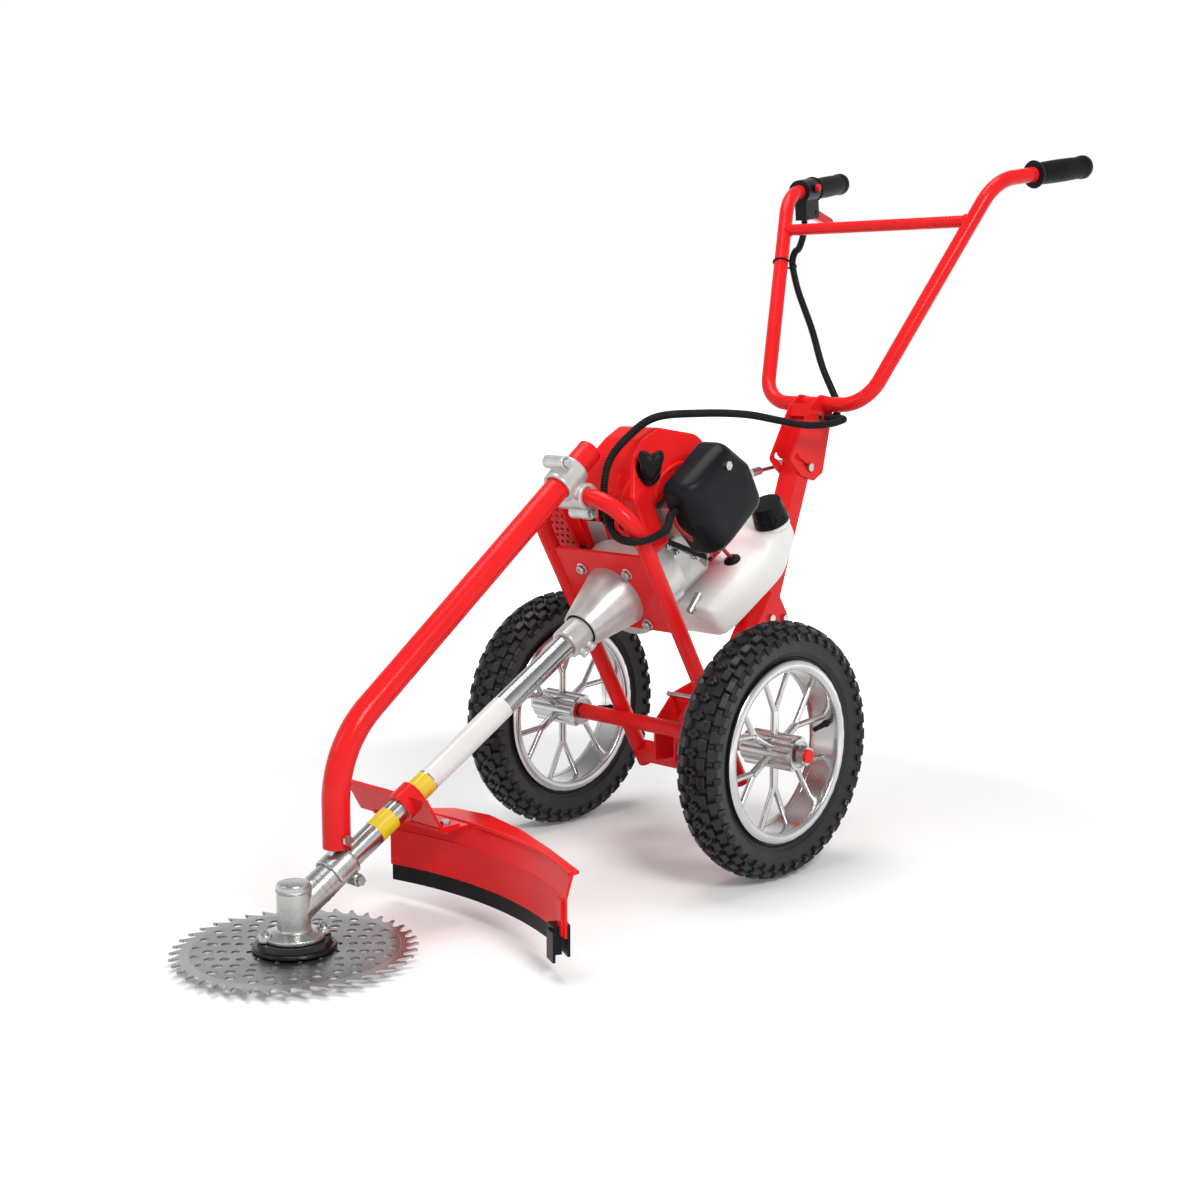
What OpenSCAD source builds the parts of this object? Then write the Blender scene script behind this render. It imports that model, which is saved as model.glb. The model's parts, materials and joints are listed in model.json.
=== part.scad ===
// Wheeled brush cutter: a two-stroke engine on a two-wheeled tube frame drives a saw blade through a sloping
// shaft. Millimetres, +Z up, forward is -Y. The origin is where the blade's axis meets the ground.

/* [Layout] */
// Slope of the drive shaft above the ground, degrees
shaft_tilt = 30; // [26:1:34]
// Height above the ground where the shaft and blade axes cross
head_z = 50; // [49:1:60]
// Distance along the shaft from that crossing to the plane of the arch frame
frame_s = 560; // [520:5:600]

/* [Cutter] */
// Diameter of the saw blade
blade_d = 255; // [230:1:280]
// Thickness of the saw blade
blade_t = 2; // [1.4:0.1:3]
// Number of saw teeth
blade_teeth = 40; // [24:2:60]
// Depth of the gullets between the teeth
tooth_h = 12; // [6:1:16]
// Diameter of the hole in the blade
arbor_d = 25.4; // [24:0.1:27]
// Height of the glide bowl under the blade
bowl_h = 10; // [9:0.5:12]
// Diameter of the glide bowl at its rim
bowl_d = 100; // [80:1:120]
// Diameter of the flat foot of the glide bowl
bowl_foot_d = 60; // [50:1:70]
// Diameter of the output spindle
spindle_d = 12; // [11:0.5:13]
// Diameter of the spindle's threaded end
thread_d = 10; // [8:0.5:10]

/* [Gear head] */
// Outside diameter of the upright barrel
barrel_d = 35; // [34:0.5:42]
// Outside diameter of the neck that holds the shaft tube
neck_d = 34; // [33:0.5:40]
// Length of the neck from the crossing of the axes
neck_len = 84; // [82:1:96]
// Diameter of the head's base flange
head_flange_d = 64; // [62:1:74]
// Outside diameter of the black boss ring over the blade
boss_ring_d = 84; // [80:1:96]
// Cone distance of the bevel gears at their large ends
cone_dist = 21.5; // [20.5:0.1:22]
// Tooth length of the bevel gears along the cone
gear_face = 7; // [5:0.5:8]

/* [Shaft] */
// Outside diameter of the shaft tube
tube_d = 27; // [26:0.5:28]
// Wall of the shaft tube
tube_wall = 1.5; // [1:0.1:2]
// Diameter of the drive shaft
drive_d = 8; // [7:0.5:9]
// Outside diameter of the split collar at the top of the shaft tube
collar_d = 38; // [36:1:44]
// Length of the split collar
collar_len = 30; // [24:1:36]

/* [Frame tubes] */
// Outside diameter of the arch tube
arch_d = 20; // [18:0.5:22]
// Wall of the arch tube
arch_wall = 2; // [1.5:0.1:3]
// Half the distance between the arch's legs, centre to centre
leg_x = 80; // [76:1:90]
// Height of the arch's top above the shaft axis, in the frame plane
arch_top = 143; // [140:1:155]
// Length of the legs below the shaft axis, in the frame plane
leg_low = 281; // [275:1:290]
// Centre-line bend radius of the arch
arch_bend = 64; // [55:1:64]
// Side of the square tube that joins the legs
cross_tube = 20; // [16:1:22]
// Height of the square cross tube above the leg ends
cross_up = 19; // [16:1:24]
// Outside diameter of the axle tube
axle_tube_d = 20; // [19:0.5:22]
// Distance of the axle in front of the frame plane
axle_front = 16; // [15:0.5:18]
// Outside diameter of the boom tube
boom_d = 30; // [28:0.5:32]
// Wall of the boom tube
boom_wall = 2; // [1.5:0.1:3]
// Slope of the boom's long run, degrees
boom_slope = 37.4; // [36:0.2:39]
// Distance of the boom's upright foot behind the blade axis
boom_y = 57; // [54:1:60]
// Height of the boom's lower end above the ground
boom_end_z = 107; // [104:1:112]
// Centre-line bend radius of the boom
boom_bend = 120; // [80:5:130]
// Length of boom beyond its clamp
boom_over = 50; // [40:1:80]

/* [Mount plate] */
// Thickness of the mount plate
plate_t = 4; // [3:0.5:6]
// Height of the plate's top edge above the shaft axis
plate_up = 64; // [60:1:68]
// Depth of the plate's bottom edge below the shaft axis
plate_down = 46; // [44:1:56]
// Half spacing of the four engine bolts
bolt_half = 37; // [36.5:0.5:39]
// Diameter of the engine bolts
bolt_d = 6; // [5:0.5:6]

/* [Wheels] */
// Diameter of the wheels over the tread
wheel_d = 307; // [300:1:316]
// Width of the tyres
tyre_w = 56; // [50:1:60]
// Diameter of the rim flanges
rim_d = 218; // [210:1:222]
// Distance between the rim flanges
rim_w = 40; // [36:1:42]
// Half the track, from the middle plane to a wheel's plane
half_track = 177; // [170:1:190]
// Length of the hubs
hub_len = 76; // [70:1:80]
// Diameter of the hubs
hub_d = 44; // [42:1:50]
// Forked spokes in each wheel
spokes = 6; // [5:1:7]
// Diameter of the axle
axle_d = 16; // [14:0.5:16]
// Length of axle beyond each hub
axle_out = 14; // [13:1:18]

/* [Column] */
// Width of the column tube
column_w = 30; // [28:1:34]
// Depth of the column tube
column_d = 25; // [22:1:28]
// Wall of the column tube
column_wall = 2; // [1.5:0.1:3]
// Rearward lean of the column, degrees
column_lean = 20.5; // [18:0.5:23]
// Distance of the column's foot behind the axle
column_back = 183; // [175:1:190]
// Height of the column's foot above the axle
column_up = 96; // [90:1:100]
// Length of the column from its foot to the handle pivot
column_len = 299; // [280:1:320]
// Thickness of the bracket sheet
sheet_t = 3; // [2.5:0.1:4]

/* [Handle] */
// Outside diameter of the handlebar tube
bar_d = 20; // [19:0.5:21]
// Wall of the handlebar tube
bar_wall = 1.8; // [1.5:0.1:2.5]
// Diameter of the crossbar
crossbar_d = 16; // [14:0.5:18]
// Distance of the bar's bottom run behind the pivot
bar_back = 14; // [13:0.5:16]
// Height of the bar's bottom run above the pivot
bar_up = 17; // [16:0.5:20]
// Half width of the handlebar at its lower corners
bar_half = 82; // [78:1:90]
// Half width at the upper bends
shoulder_half = 171; // [162:1:180]
// Distance of the upper bends behind the pivot
shoulder_back = 170; // [162:1:176]
// Height of the upper bends above the pivot
shoulder_up = 309; // [300:1:318]
// Half width over the grip ends
grip_half = 204; // [195:1:215]
// Distance of the grip ends behind the pivot
grip_back = 340; // [336:1:348]
// Height of the grip ends above the pivot
grip_up = 335; // [325:1:345]
// Height of the crossbar above the pivot
crossbar_up = 256; // [230:1:265]
// Centre-line bend radius at the handlebar's lower corners
bar_bend = 50; // [40:1:55]
// Centre-line bend radius below the grips
shoulder_bend = 70; // [50:1:75]
// Diameter of the grips
grip_d = 31; // [29:0.5:33]
// Length of the left grip
grip_l = 102; // [90:1:106]
// Length of the right grip, beside the throttle
grip_r = 98; // [94:1:100]
// Radius of the arc of lock holes about the pivot
lock_r = 68; // [64:0.5:70]
// Angle of the lock bolt forward of straight below the pivot, degrees
lock_a = 17; // [16:0.5:19]
// Angle between neighbouring lock holes, degrees
lock_step = 13; // [12:0.5:14]
// Travel of the stop button
button_travel = 3; // [2:0.5:4]

/* [Guard] */
// Radius of the guard's curved wall
guard_r = 450; // [430:5:470]
// Distance of the guard's wall behind the blade axis
guard_y = 203; // [198:1:210]
// Sideways place of the middle of the guard's curve
guard_x = 30; // [20:1:35]
// Reach of the guard to the left of the middle plane
guard_left = 247; // [220:1:255]
// Reach of the guard to the right of the middle plane
guard_right = 75; // [75:1:85]
// Height of the guard's roof above the ground
guard_top = 110; // [108:1:114]
// Height of the lower edge of the guard's hard wall
guard_low = 44; // [40:1:50]
// Height of the lower edge of the rubber flap
flap_low = 25; // [20:1:30]
// Depth of the guard's roof
roof_depth = 44; // [40:1:50]
// Thickness of the guard's wall
guard_t = 3; // [2.5:0.5:4]

/* [Engine] */
// Diameter of the clutch cone where it meets the plate
cone_big_d = 83; // [83:0.5:86]
// Diameter of the clutch cone's small end
cone_small_d = 48; // [46:1:52]
// Length of the clutch cone in front of the plate
cone_len = 68; // [66:1:72]
// Outside diameter of the fan housing
fan_d = 120; // [118:1:124]
// Depth of the fan housing
fan_len = 48; // [48:1:52]
// Length of the crankcase
case_len = 66; // [66:1:70]
// Cylinder bore
cyl_bore = 40; // [38:0.5:41]
// Piston stroke
stroke = 32; // [30:0.5:33]
// Length of the connecting rod between its eyes
rod_len = 58; // [57:0.5:60]
// Height of the cylinder's head above the crank axis
head_up = 116; // [115:1:118]
// Width of the cooling fins
fin_w = 84; // [80:1:86]
// Number of cooling fins
fin_count = 9; // [6:1:10]
// Depth of the recoil starter
starter_len = 54; // [52:1:58]
// Diameter of the recoil starter's cover
starter_d = 108; // [106:1:110]
// Half width of the fuel tank
tank_half = 80; // [76:1:84]
// Wall of the moulded shells
shell_t = 2.5; // [2:0.1:3]
// Diameter of the fuel cap
cap_d = 46; // [44:1:48]
// Height of the fuel cap
cap_h = 28; // [24:1:30]
// Depth of the air filter cover
filter_depth = 44; // [40:1:48]
// Radius of the starter's rope drum
rope_drum_r = 20; // [18:0.5:22]

/* [Conduit] */
// Outside diameter of the corrugated cable conduit
conduit_d = 10; // [8:0.5:11]
// Bore of the conduit
conduit_bore = 6; // [4:0.5:6.5]
// Depth of the conduit's corrugations
rib_h = 0.9; // [0.6:0.1:1]
// Ribs along the upper conduit
ribs_upper = 70; // [40:1:80]
// Ribs along the lower conduit
ribs_lower = 120; // [80:1:120]

/* [Fits] */
// Radial clearance between seated pieces
seat = 0.02; // [0.01:0.01:0.05]
// Radial clearance of running fits
run = 0.05; // [0.03:0.01:0.1]
// Free gap beside moving faces
gap = 0.3; // [0.3:0.1:0.5]

/* [Hidden] */
$fn = 48;

// Colours
red = [0.82, 0.05, 0.05];
black = [0.06, 0.06, 0.065];
steel = [0.62, 0.63, 0.65];
alloy = [0.78, 0.78, 0.77];
white = [0.93, 0.93, 0.90];

// Cutter stack
bowl_top = bowl_h;
blade_top = bowl_top + blade_t;
thread_floor = 3;
blade_flange_t = 3;
blade_hub_top = blade_top + 9;

// Gear head
gear_teeth = 19;
pinion_teeth = 14;
gear_shaft_angle = 90 - shaft_tilt;
pinion_half = atan(sin(gear_shaft_angle) / (gear_teeth / pinion_teeth + cos(gear_shaft_angle)));
gear_half = gear_shaft_angle - pinion_half;
tooth_up = atan(1.1 / cone_dist);
tooth_down = atan(1.7 / cone_dist);
gear_heel = cone_dist * cos(gear_half);
gear_toe = (cone_dist - gear_face) * cos(gear_half);
pinion_heel = cone_dist * cos(pinion_half);
pinion_toe = (cone_dist - gear_face) * cos(pinion_half);
head_floor = blade_top + 11;
head_flange_t = 7;
barrel_wall = 3;
barrel_bore = barrel_d / 2 - barrel_wall;
bearing_h = 7;
bearing_z = head_z + gear_heel + 3;
barrel_top = bearing_z + bearing_h + 4;
low_bearing_z = head_floor + head_flange_t;
low_bearing_h = 10;
journal_r = 5;
pinion_hub_r = 6;
pinion_bearing_s = 25;
pinion_bearing_h = 12;
pinion_bearing_r = tube_d / 2 - 0.5;
tube_seat_s = pinion_bearing_s + pinion_bearing_h + 1;
neck_lug_s = neck_len - 8;
neck_lug_w = -(neck_d / 2 + 5);
neck_lug_r = 7;
lug_half = 12;

// Shaft and clutch cone
cone_front = frame_s - plate_t - cone_len;
collar_front = cone_front - collar_len;
tube_end = cone_front + 6;
drum_front = frame_s - 12;
drum_r = 36;
drum_wall = 3;
drum_len = 18;
drum_boss_r = 8.5;
drum_boss_front = cone_front + 12;
shoe_r = drum_r - drum_wall - 1;
bush_at = [150, 270, 390];
bush_len = 12;

// Arch frame and axle
wheel_r = wheel_d / 2;
axle_y = (frame_s - axle_front - (wheel_r - head_z) * sin(shaft_tilt)) / cos(shaft_tilt);
axle_z = wheel_r;
arch_points = [
  [-leg_x, frame_s, -leg_low], [-leg_x, frame_s, arch_top], [leg_x, frame_s, arch_top],
  [leg_x, frame_s, -leg_low]
];
cross_w = -leg_low + cross_up;
hub_in = half_track - hub_len / 2;
hub_out = half_track + hub_len / 2;
axle_tube_half = hub_in - 1;
axle_half = hub_out + axle_out;
bearing_r = axle_d / 2 + 8;
bearing_w = 10;
bearing_set = 1;
nut_r = axle_d / 2 + 4;
nut_h = 9;

// Boom
arch_top_y = frame_s * cos(shaft_tilt) - arch_top * sin(shaft_tilt);
arch_top_z = head_z + frame_s * sin(shaft_tilt) + arch_top * cos(shaft_tilt);
boom_off = (boom_d + arch_d) / 2 + 0.5;
boom_dir = [0, cos(boom_slope), sin(boom_slope)];
boom_up = [0, -sin(boom_slope), cos(boom_slope)];
clamp_at = [0, arch_top_y, arch_top_z] + boom_up * boom_off;
boom_bend_z = clamp_at.z - (clamp_at.y - boom_y) * tan(boom_slope);
boom_top = clamp_at + boom_dir * boom_over;
boom_points = [[0, boom_y, boom_end_z], [0, boom_y, boom_bend_z], boom_top];
clamp_wall = 5;
clamp_half = 17;
arch_clamp_half = 22;
clamp_ear_r = 8;
saddle_r = neck_d / 2 + 3.5;
saddle_from = neck_len - 30;
saddle_to = neck_len - 3;
saddle_low = -4;
saddle_tongue = 8;
saddle_bolt_z = boom_end_z + 11;

// Column and handle
foot = [0, axle_y + column_back, axle_z + column_up];
column_dir = [0, sin(column_lean), cos(column_lean)];
pivot = foot + column_dir * column_len;
column_over = 9;
pivot_bolt_d = 8;
lock_bolt_d = 6;
lock_hole_d = 9;
lock_hub_len = 16;
lock_hub_end = 2;
cheek_in = column_w / 2 + gap;
cheek_out = cheek_in + sheet_t;
lock_at = pivot + lock_r * [0, -sin(lock_a), -cos(lock_a)];
bar_points = [
  pivot + [-grip_half, grip_back, grip_up], pivot + [-shoulder_half, shoulder_back, shoulder_up],
  pivot + [-bar_half, bar_back, bar_up], pivot + [bar_half, bar_back, bar_up],
  pivot + [shoulder_half, shoulder_back, shoulder_up], pivot + [grip_half, grip_back, grip_up]
];
bar_bends = [0, shoulder_bend, bar_bend, bar_bend, shoulder_bend, 0];
crossbar_share = (crossbar_up - bar_up) / (shoulder_up - bar_up);
crossbar_left = bar_points[3] + (bar_points[4] - bar_points[3]) * crossbar_share;
crossbar_right = bar_points[2] + (bar_points[1] - bar_points[2]) * crossbar_share;
grip_cap = 4;

// Axes of the right grip's frame: +Y along the bar towards its end
grip_e2 = unit(bar_points[0] - bar_points[1]);
grip_e1 = unit(cross(grip_e2, [0, 0, 1]));
grip_e3 = cross(grip_e1, grip_e2);

// Throttle, in the right grip's own frame: +Y along the bar to its end, +Z up
throttle_y = -grip_r - 42;
throttle_len = 40;
throttle_r = bar_d / 2 + 7;
lever_pivot = [0, -grip_r - 6, -33];
lever_pin_r = 3;
lever_eye_r = 7;
lever_half = 4;
lever_len = 66;
lever_drop = 18;
button_r = 5;
button_at = [throttle_r - 2, -grip_r - 22, 4];
button_len = 9;

// Guard
guard_centre = [guard_x, guard_y - guard_r, 0];
guard_a0 = acos((guard_left - guard_x) / guard_r);
guard_a1 = acos((-guard_right - guard_x) / guard_r);
crease_z = 84;
crease_back = 8;
bracket_s = 176;
bracket_len = 24;
bracket_half_l = 42;
bracket_half_r = 95;
bracket_up = 12;
bracket_down = (head_z + (bracket_s - sheet_t) * sin(shaft_tilt) - guard_top - 0.5) / cos(shaft_tilt);
bracket_foot_y = bracket_s * cos(shaft_tilt) + bracket_down * sin(shaft_tilt);
tab_right = 70;
screw_x = 30;

// Engine, in its own frame: +Y along the shaft from the frame plane, +Z up the cylinder
cone_flange_t = 4;
fan_front = cone_flange_t;
fan_back = fan_front + fan_len;
case_back = fan_back + case_len;
cyl_y = fan_back + case_len / 2;
starter_back = case_back + starter_len;
case_half = 40;
deck_w = 36;
case_low = -46;
crank_cavity_r = stroke / 2 + 17;
crank_r = 7.5;
web_r = stroke / 2 + 13;
web_t = 9;
pin_gap = 14;
crank_pin_r = 6;
gudgeon_w = stroke / 2 + rod_len;
gudgeon_r = 4.5;
piston_up = 20;
piston_down = 14;
barrel_r = cyl_bore / 2 + 6;
port_w = 65;
port_r = 12;
port_reach = fin_w / 2 + 2;
shroud_clear = 0.4;
shroud_x0 = -fin_w / 2 - 10;
shroud_x1 = fin_w / 2 + 12;
shroud_top = head_up + 42;
carb_x0 = shroud_x1 + 2;
carb_x1 = carb_x0 + 22;
cable_w = 92;
cable_x = 92;
filter_from = [56, 15];
filter_to = [172, 130];
filter_screw = [128, 108];
muffler_x = [-104, -62];
muffler_y = [30, 118];
muffler_w = [22, 102];
muffler_gap = 4;
guard_sheet = 2;
neck_at = [tank_half - 21, 230];
neck_r = cap_d / 2 - 6;
neck_h = 12;
tank_top = -46;
tank_low = -112;
tank_back = 250;
reel_y = case_back + 14;
reel_w = 20;
reel_r = 40;
reel_post_r = 8;
rope_r = 2;
rope_w = rope_drum_r;
rope_y = reel_y + reel_w / 2;
starter_grip_gap = 4;
starter_grip_len = 30;

// Conduit routes, chosen by hand: the upper one and the start of the lower one about the handle's pivot, the
// rest of the lower one in the engine's frame
conduit_start = [0, throttle_y + 12, lever_pivot.z - 8];
upper_about_pivot = [
  [-178, 214, 248], [-164, 188, 233], [-147, 156, 225], [-134, 134, 210], [-122, 125, 188],
  [-108, 118, 164], [-72, 101, 115], [-36, 77, 67], [4, 50, 31], [20, 40, 16], [26, 28, 3], [26, 14, -2],
  [29, 4, 0], [36, 0, 0], [46, 0, 0]
];
lower_about_pivot = [
  [46 + gap, 0, 0], [54, 0, 0], [61, -4, -1], [64, -13, -2], [62, -26, -5], [55, -45, -7], [45, -72, -6],
  [35, -105, 0], [32, -171, 10], [30, -255, 14]
];
lower_about_engine = [
  [28, 136, 165], [26, 82, 169], [26, 46, 162], [28, 21, 141], [34, 6, 121], [46, -8, 107], [62, -15, 98],
  [82, -16, 96], [97, -8, 94], [102, 8, 91], [100, 26, 89], [cable_x, filter_from.x - 12, cable_w],
  [cable_x, filter_from.x - seat, cable_w]
];
route_upper = concat(
  [right_grip_point(conduit_start - [0, 0, seat]), right_grip_point(conduit_start - [0, 0, 12])],
  [for (p = upper_about_pivot) pivot + p]
);
route_lower = concat(
  [for (p = lower_about_pivot) pivot + p], [for (p = lower_about_engine) engine_point(p)]
);

// Helpers
function unit(v) = v / norm(v);
function turn(p, i) = acos(unit(p[i] - p[i - 1]) * unit(p[i + 1] - p[i]));
function bend_at(bend, i) = is_list(bend) ? bend[i] : bend;
function tangent(p, i, bend) = bend_at(bend, i) * tan(turn(p, i) / 2);
function polar(r, a) = [r * cos(a), r * sin(a)];
function flip(p) = [for (i = [len(p) - 1:-1:0]) p[i]];

// Corner of an outline rounded to radius r with a few points
function round_corner(a, b, c, r, n = 5) =
  let (
    u = unit(a - b),
    v = unit(c - b),
    half = acos(u * v) / 2,
    reach = r / tan(half),
    centre = b + unit(u + v) * r / sin(half),
    from = b + u * reach - centre,
    to = b + v * reach - centre,
    a0 = atan2(from.y, from.x),
    swing = atan2(from.x * to.y - from.y * to.x, from * to)
  ) [for (k = [0:n]) centre + polar(r, a0 + swing * k / n)];

function rounded(p, r) = [
  for (i = [0:len(p) - 1])
    each round_corner(p[(i + len(p) - 1) % len(p)], p[i], p[(i + 1) % len(p)], r)
];

function shaft_point(p) = [
  p.x, p.y * cos(shaft_tilt) - p.z * sin(shaft_tilt), head_z + p.y * sin(shaft_tilt) + p.z * cos(shaft_tilt)
];
function engine_point(p) = shaft_point(p + [0, frame_s, 0]);

function right_grip_point(p) = bar_points[0] + p.x * grip_e1 + p.y * grip_e2 + p.z * grip_e3;

module in_shaft() {
  translate([0, 0, head_z]) rotate([shaft_tilt, 0, 0]) children();
}

module in_engine() {
  in_shaft() translate([0, frame_s, 0]) children();
}

module in_column() {
  translate(foot) rotate([-column_lean, 0, 0]) children();
}

// Frame of the right grip, with its origin at the bar's end
module in_right_grip() {
  e1 = grip_e1;
  e2 = grip_e2;
  e3 = grip_e3;
  at = bar_points[0];
  multmatrix([
    [e1.x, e2.x, e3.x, at.x], [e1.y, e2.y, e3.y, at.y], [e1.z, e2.z, e3.z, at.z], [0, 0, 0, 1]
  ]) children();
}

module mirror_pair() {
  children();
  mirror([1, 0, 0]) children();
}

// Round bar from point a to point b
module rod(a, b, r) {
  d = b - a;
  translate(a) rotate([0, acos(d.z / norm(d)), atan2(d.y, d.x)]) cylinder(h = norm(d), r = r);
}

module along_y(from, to, r) {
  translate([0, from, 0]) rotate([-90, 0, 0]) cylinder(h = to - from, r = r);
}

module along_x(from, to, r, y = 0, z = 0) {
  translate([from, y, z]) rotate([0, 90, 0]) cylinder(h = to - from, r = r);
}

module cone_y(from, to, r_from, r_to) {
  translate([0, from, 0]) rotate([-90, 0, 0]) cylinder(h = to - from, r1 = r_from, r2 = r_to);
}

// Bent bar along straight runs, with round elbows of the centre-line radius given for all or for each corner.
// An elbow is a hair fatter than the runs, which lap into it, so that they join as one solid.
module bent_rod(p, r, bend) {
  last = len(p) - 1;
  lap = 1;
  swell = 0.05;
  for (i = [0:last - 1]) {
    u = unit(p[i + 1] - p[i]);
    a = i == 0 ? p[0] : p[i] + u * (tangent(p, i, bend) - lap);
    b = i == last - 1 ? p[last] : p[i + 1] - u * (tangent(p, i + 1, bend) - lap);
    rod(a, b, r);
  }
  for (i = [1:last - 1]) elbow(p, i, r + swell, bend);
}

module elbow(p, i, r, bend) {
  u = unit(p[i] - p[i - 1]);
  v = unit(p[i + 1] - p[i]);
  n = unit(v - (u * v) * u);
  e1 = -n;
  e3 = cross(e1, u);
  reach = bend_at(bend, i);
  c = p[i] - u * tangent(p, i, bend) + n * reach;
  multmatrix([[e1.x, u.x, e3.x, c.x], [e1.y, u.y, e3.y, c.y], [e1.z, u.z, e3.z, c.z], [0, 0, 0, 1]])
    rotate_extrude(angle = turn(p, i)) translate([reach, 0]) circle(r = r);
}

// The same route with both ends pushed out by a little, for a through bore
function stretched(p, by) =
  let (last = len(p) - 1)
  [
    for (i = [0:last])
      i == 0 ? p[0] + unit(p[0] - p[1]) * by :
      i == last ? p[last] + unit(p[last] - p[last - 1]) * by : p[i]
  ];

module bent_tube(p, r, wall, bend) {
  difference() {
    bent_rod(p, r, bend);
    bent_rod(stretched(p, 1), r - wall, bend);
  }
}

// Slab between two X planes whose outline is given in Y and Z
module side_slab(x0, x1, outline) {
  translate([x0, 0, 0]) rotate([90, 0, 90]) linear_extrude(x1 - x0) polygon(outline);
}

// Slab between two Y planes whose outline is given in X and Z
module front_slab(y0, y1, outline) {
  translate([0, y1, 0]) rotate([90, 0, 0]) linear_extrude(y1 - y0) polygon(outline);
}

module box(low, high) {
  translate(low) cube(high - low);
}

// Hexagon-headed bolt along +Z: head below z = 0, shank above it
module bolt(d, len) {
  cylinder(h = len, d = d);
  translate([0, 0, -0.65 * d]) cylinder(h = 0.65 * d, r = 0.95 * d, $fn = 6);
}

// Bevel gear outline: straight-sided teeth, the first one centred on the angle given
function bevel_outline(teeth, root, tip, first) = [
  for (k = [0:teeth - 1], q = [[root, -0.31], [tip, -0.13], [tip, 0.13], [root, 0.31]])
    polar(q[0], first + (k + q[1]) * 360 / teeth)
];

module bevel_gear(teeth, half, toe, heel, first) {
  root = heel * tan(half - tooth_down);
  tip = heel * tan(half + tooth_up);
  translate([0, 0, heel]) mirror([0, 0, 1])
    linear_extrude(height = heel - toe, scale = toe / heel)
      polygon(bevel_outline(teeth, root, tip, first));
}

// Swept conduit: smooth route through hand-chosen points, two rings of eight sides for each rib
sides = 8;
function spline(p, i, t) =
  let (
    a = p[max(i - 1, 0)],
    b = p[i],
    c = p[min(i + 1, len(p) - 1)],
    d = p[min(i + 2, len(p) - 1)]
  ) 0.5 * (2 * b + (c - a) * t + (2 * a - 5 * b + 4 * c - d) * t ^ 2 + (3 * b - a - 3 * c + d) * t ^ 3);
function along(p, s) = let (i = min(floor(s), len(p) - 2)) spline(p, i, s - i);
function route_line(p, n) = [for (k = [0:n]) along(p, (len(p) - 1) * k / n)];
function lengths(q) = [
  for (i = 0, s = 0; i < len(q); i = i + 1, s = i < len(q) ? s + norm(q[i] - q[i - 1]) : s) s
];
function at_length(q, s, want, i = 0) =
  i >= len(q) - 2 || s[i + 1] >= want ? q[i] + (q[i + 1] - q[i]) * (want - s[i]) / (s[i + 1] - s[i])
  : at_length(q, s, want, i + 1);
function even_line(p, n) =
  let (q = route_line(p, 12 * len(p)), s = lengths(q), all = s[len(s) - 1])
  [for (k = [0:n]) at_length(q, s, all * k / n)];
function headings(q) = [
  for (i = [0:len(q) - 1]) unit(q[min(i + 1, len(q) - 1)] - q[max(i - 1, 0)])
];
function normals(t) = [
  for (
    i = 0, n = unit(cross(t[0], [0.3, 0.2, 0.9])); i < len(t); i = i + 1,
    n = i < len(t) ? unit(n - (n * t[i]) * t[i]) : n
  ) n
];
function ring(c, t, n, r) =
  let (b = cross(t, n))
  [for (k = [0:sides - 1]) c + r * (cos(360 * k / sides) * n + sin(360 * k / sides) * b)];
function wall_faces(rings, first, out) = [
  for (j = [0:rings - 2], k = [0:sides - 1])
    let (
      a = first + j * sides + k,
      b = first + j * sides + (k + 1) % sides,
      quad = [[a, b, a + sides], [b, b + sides, a + sides]]
    )
    each out ? [for (f = quad) flip(f)] : quad
];
function end_faces(outer, inner, front) = [
  for (k = [0:sides - 1])
    let (
      a = outer + k,
      b = outer + (k + 1) % sides,
      c = inner + k,
      d = inner + (k + 1) % sides,
      quad = [[a, c, b], [b, c, d]]
    )
    each front ? [for (f = quad) flip(f)] : quad
];

// Least distance between stretches of one conduit that lie more than six diameters apart along it
function self_gap(q, skip) =
  min([for (i = [0:2:len(q) - 1 - skip], j = [i + skip:2:len(q) - 1]) norm(q[i] - q[j])]) - conduit_d;

module ribbed_hose(route, ribs, label) {
  rings = 2 * ribs;
  q = even_line(route, rings - 1);
  t = headings(q);
  n = normals(t);
  plain = 4;
  radius = [
    for (i = [0:rings - 1])
      i < plain || i >= rings - plain || i % 2 == 0 ? conduit_d / 2 : conduit_d / 2 - rib_h
  ];
  bore_at = [for (i = [0:4:rings - 1]) i, if ((rings - 1) % 4 != 0) rings - 1];
  outer = [for (i = [0:rings - 1]) each ring(q[i], t[i], n[i], radius[i])];
  inner = [for (i = bore_at) each ring(q[i], t[i], n[i], conduit_bore / 2)];
  first_in = len(outer);
  last_in = first_in + (len(bore_at) - 1) * sides;
  whole = lengths(q)[rings - 1];
  echo(label, length = whole, self_gap = self_gap(q, ceil(12 * conduit_d * rings / whole)));
  polyhedron(
    points = concat(outer, inner),
    faces = concat(
      wall_faces(rings, 0, true), wall_faces(len(bore_at), first_in, false),
      end_faces(0, first_in, true), end_faces((rings - 1) * sides, last_in, false)
    )
  );
}

// Cutter

module glide_bowl() {
  bowl_r = bowl_d / 2;
  foot_r = bowl_foot_d / 2;
  boss_r = arbor_d / 2 + 8;
  skin = 3;
  color(steel) difference() {
    rotate_extrude() polygon([
      [0, 0], [foot_r, 0], [bowl_r, bowl_top - 1.5], [bowl_r, bowl_top - 0.5],
      [bowl_r - skin, bowl_top - 0.5], [foot_r - 1, skin], [boss_r, skin], [boss_r, bowl_top], [0, bowl_top]
    ]);
    translate([0, 0, thread_floor]) cylinder(h = bowl_top, r = thread_d / 2 + seat);
  }
}

function saw_outline() =
  let (r = blade_d / 2, g = r - tooth_h, step = 360 / blade_teeth)
  [
    for (k = [0:blade_teeth - 1], q = [[g, 0], [r - 1, 0.62], [r, 0.7], [g + 2, 0.66], [g, 0.74]])
      polar(q[0], (k + q[1]) * step)
  ];

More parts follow.
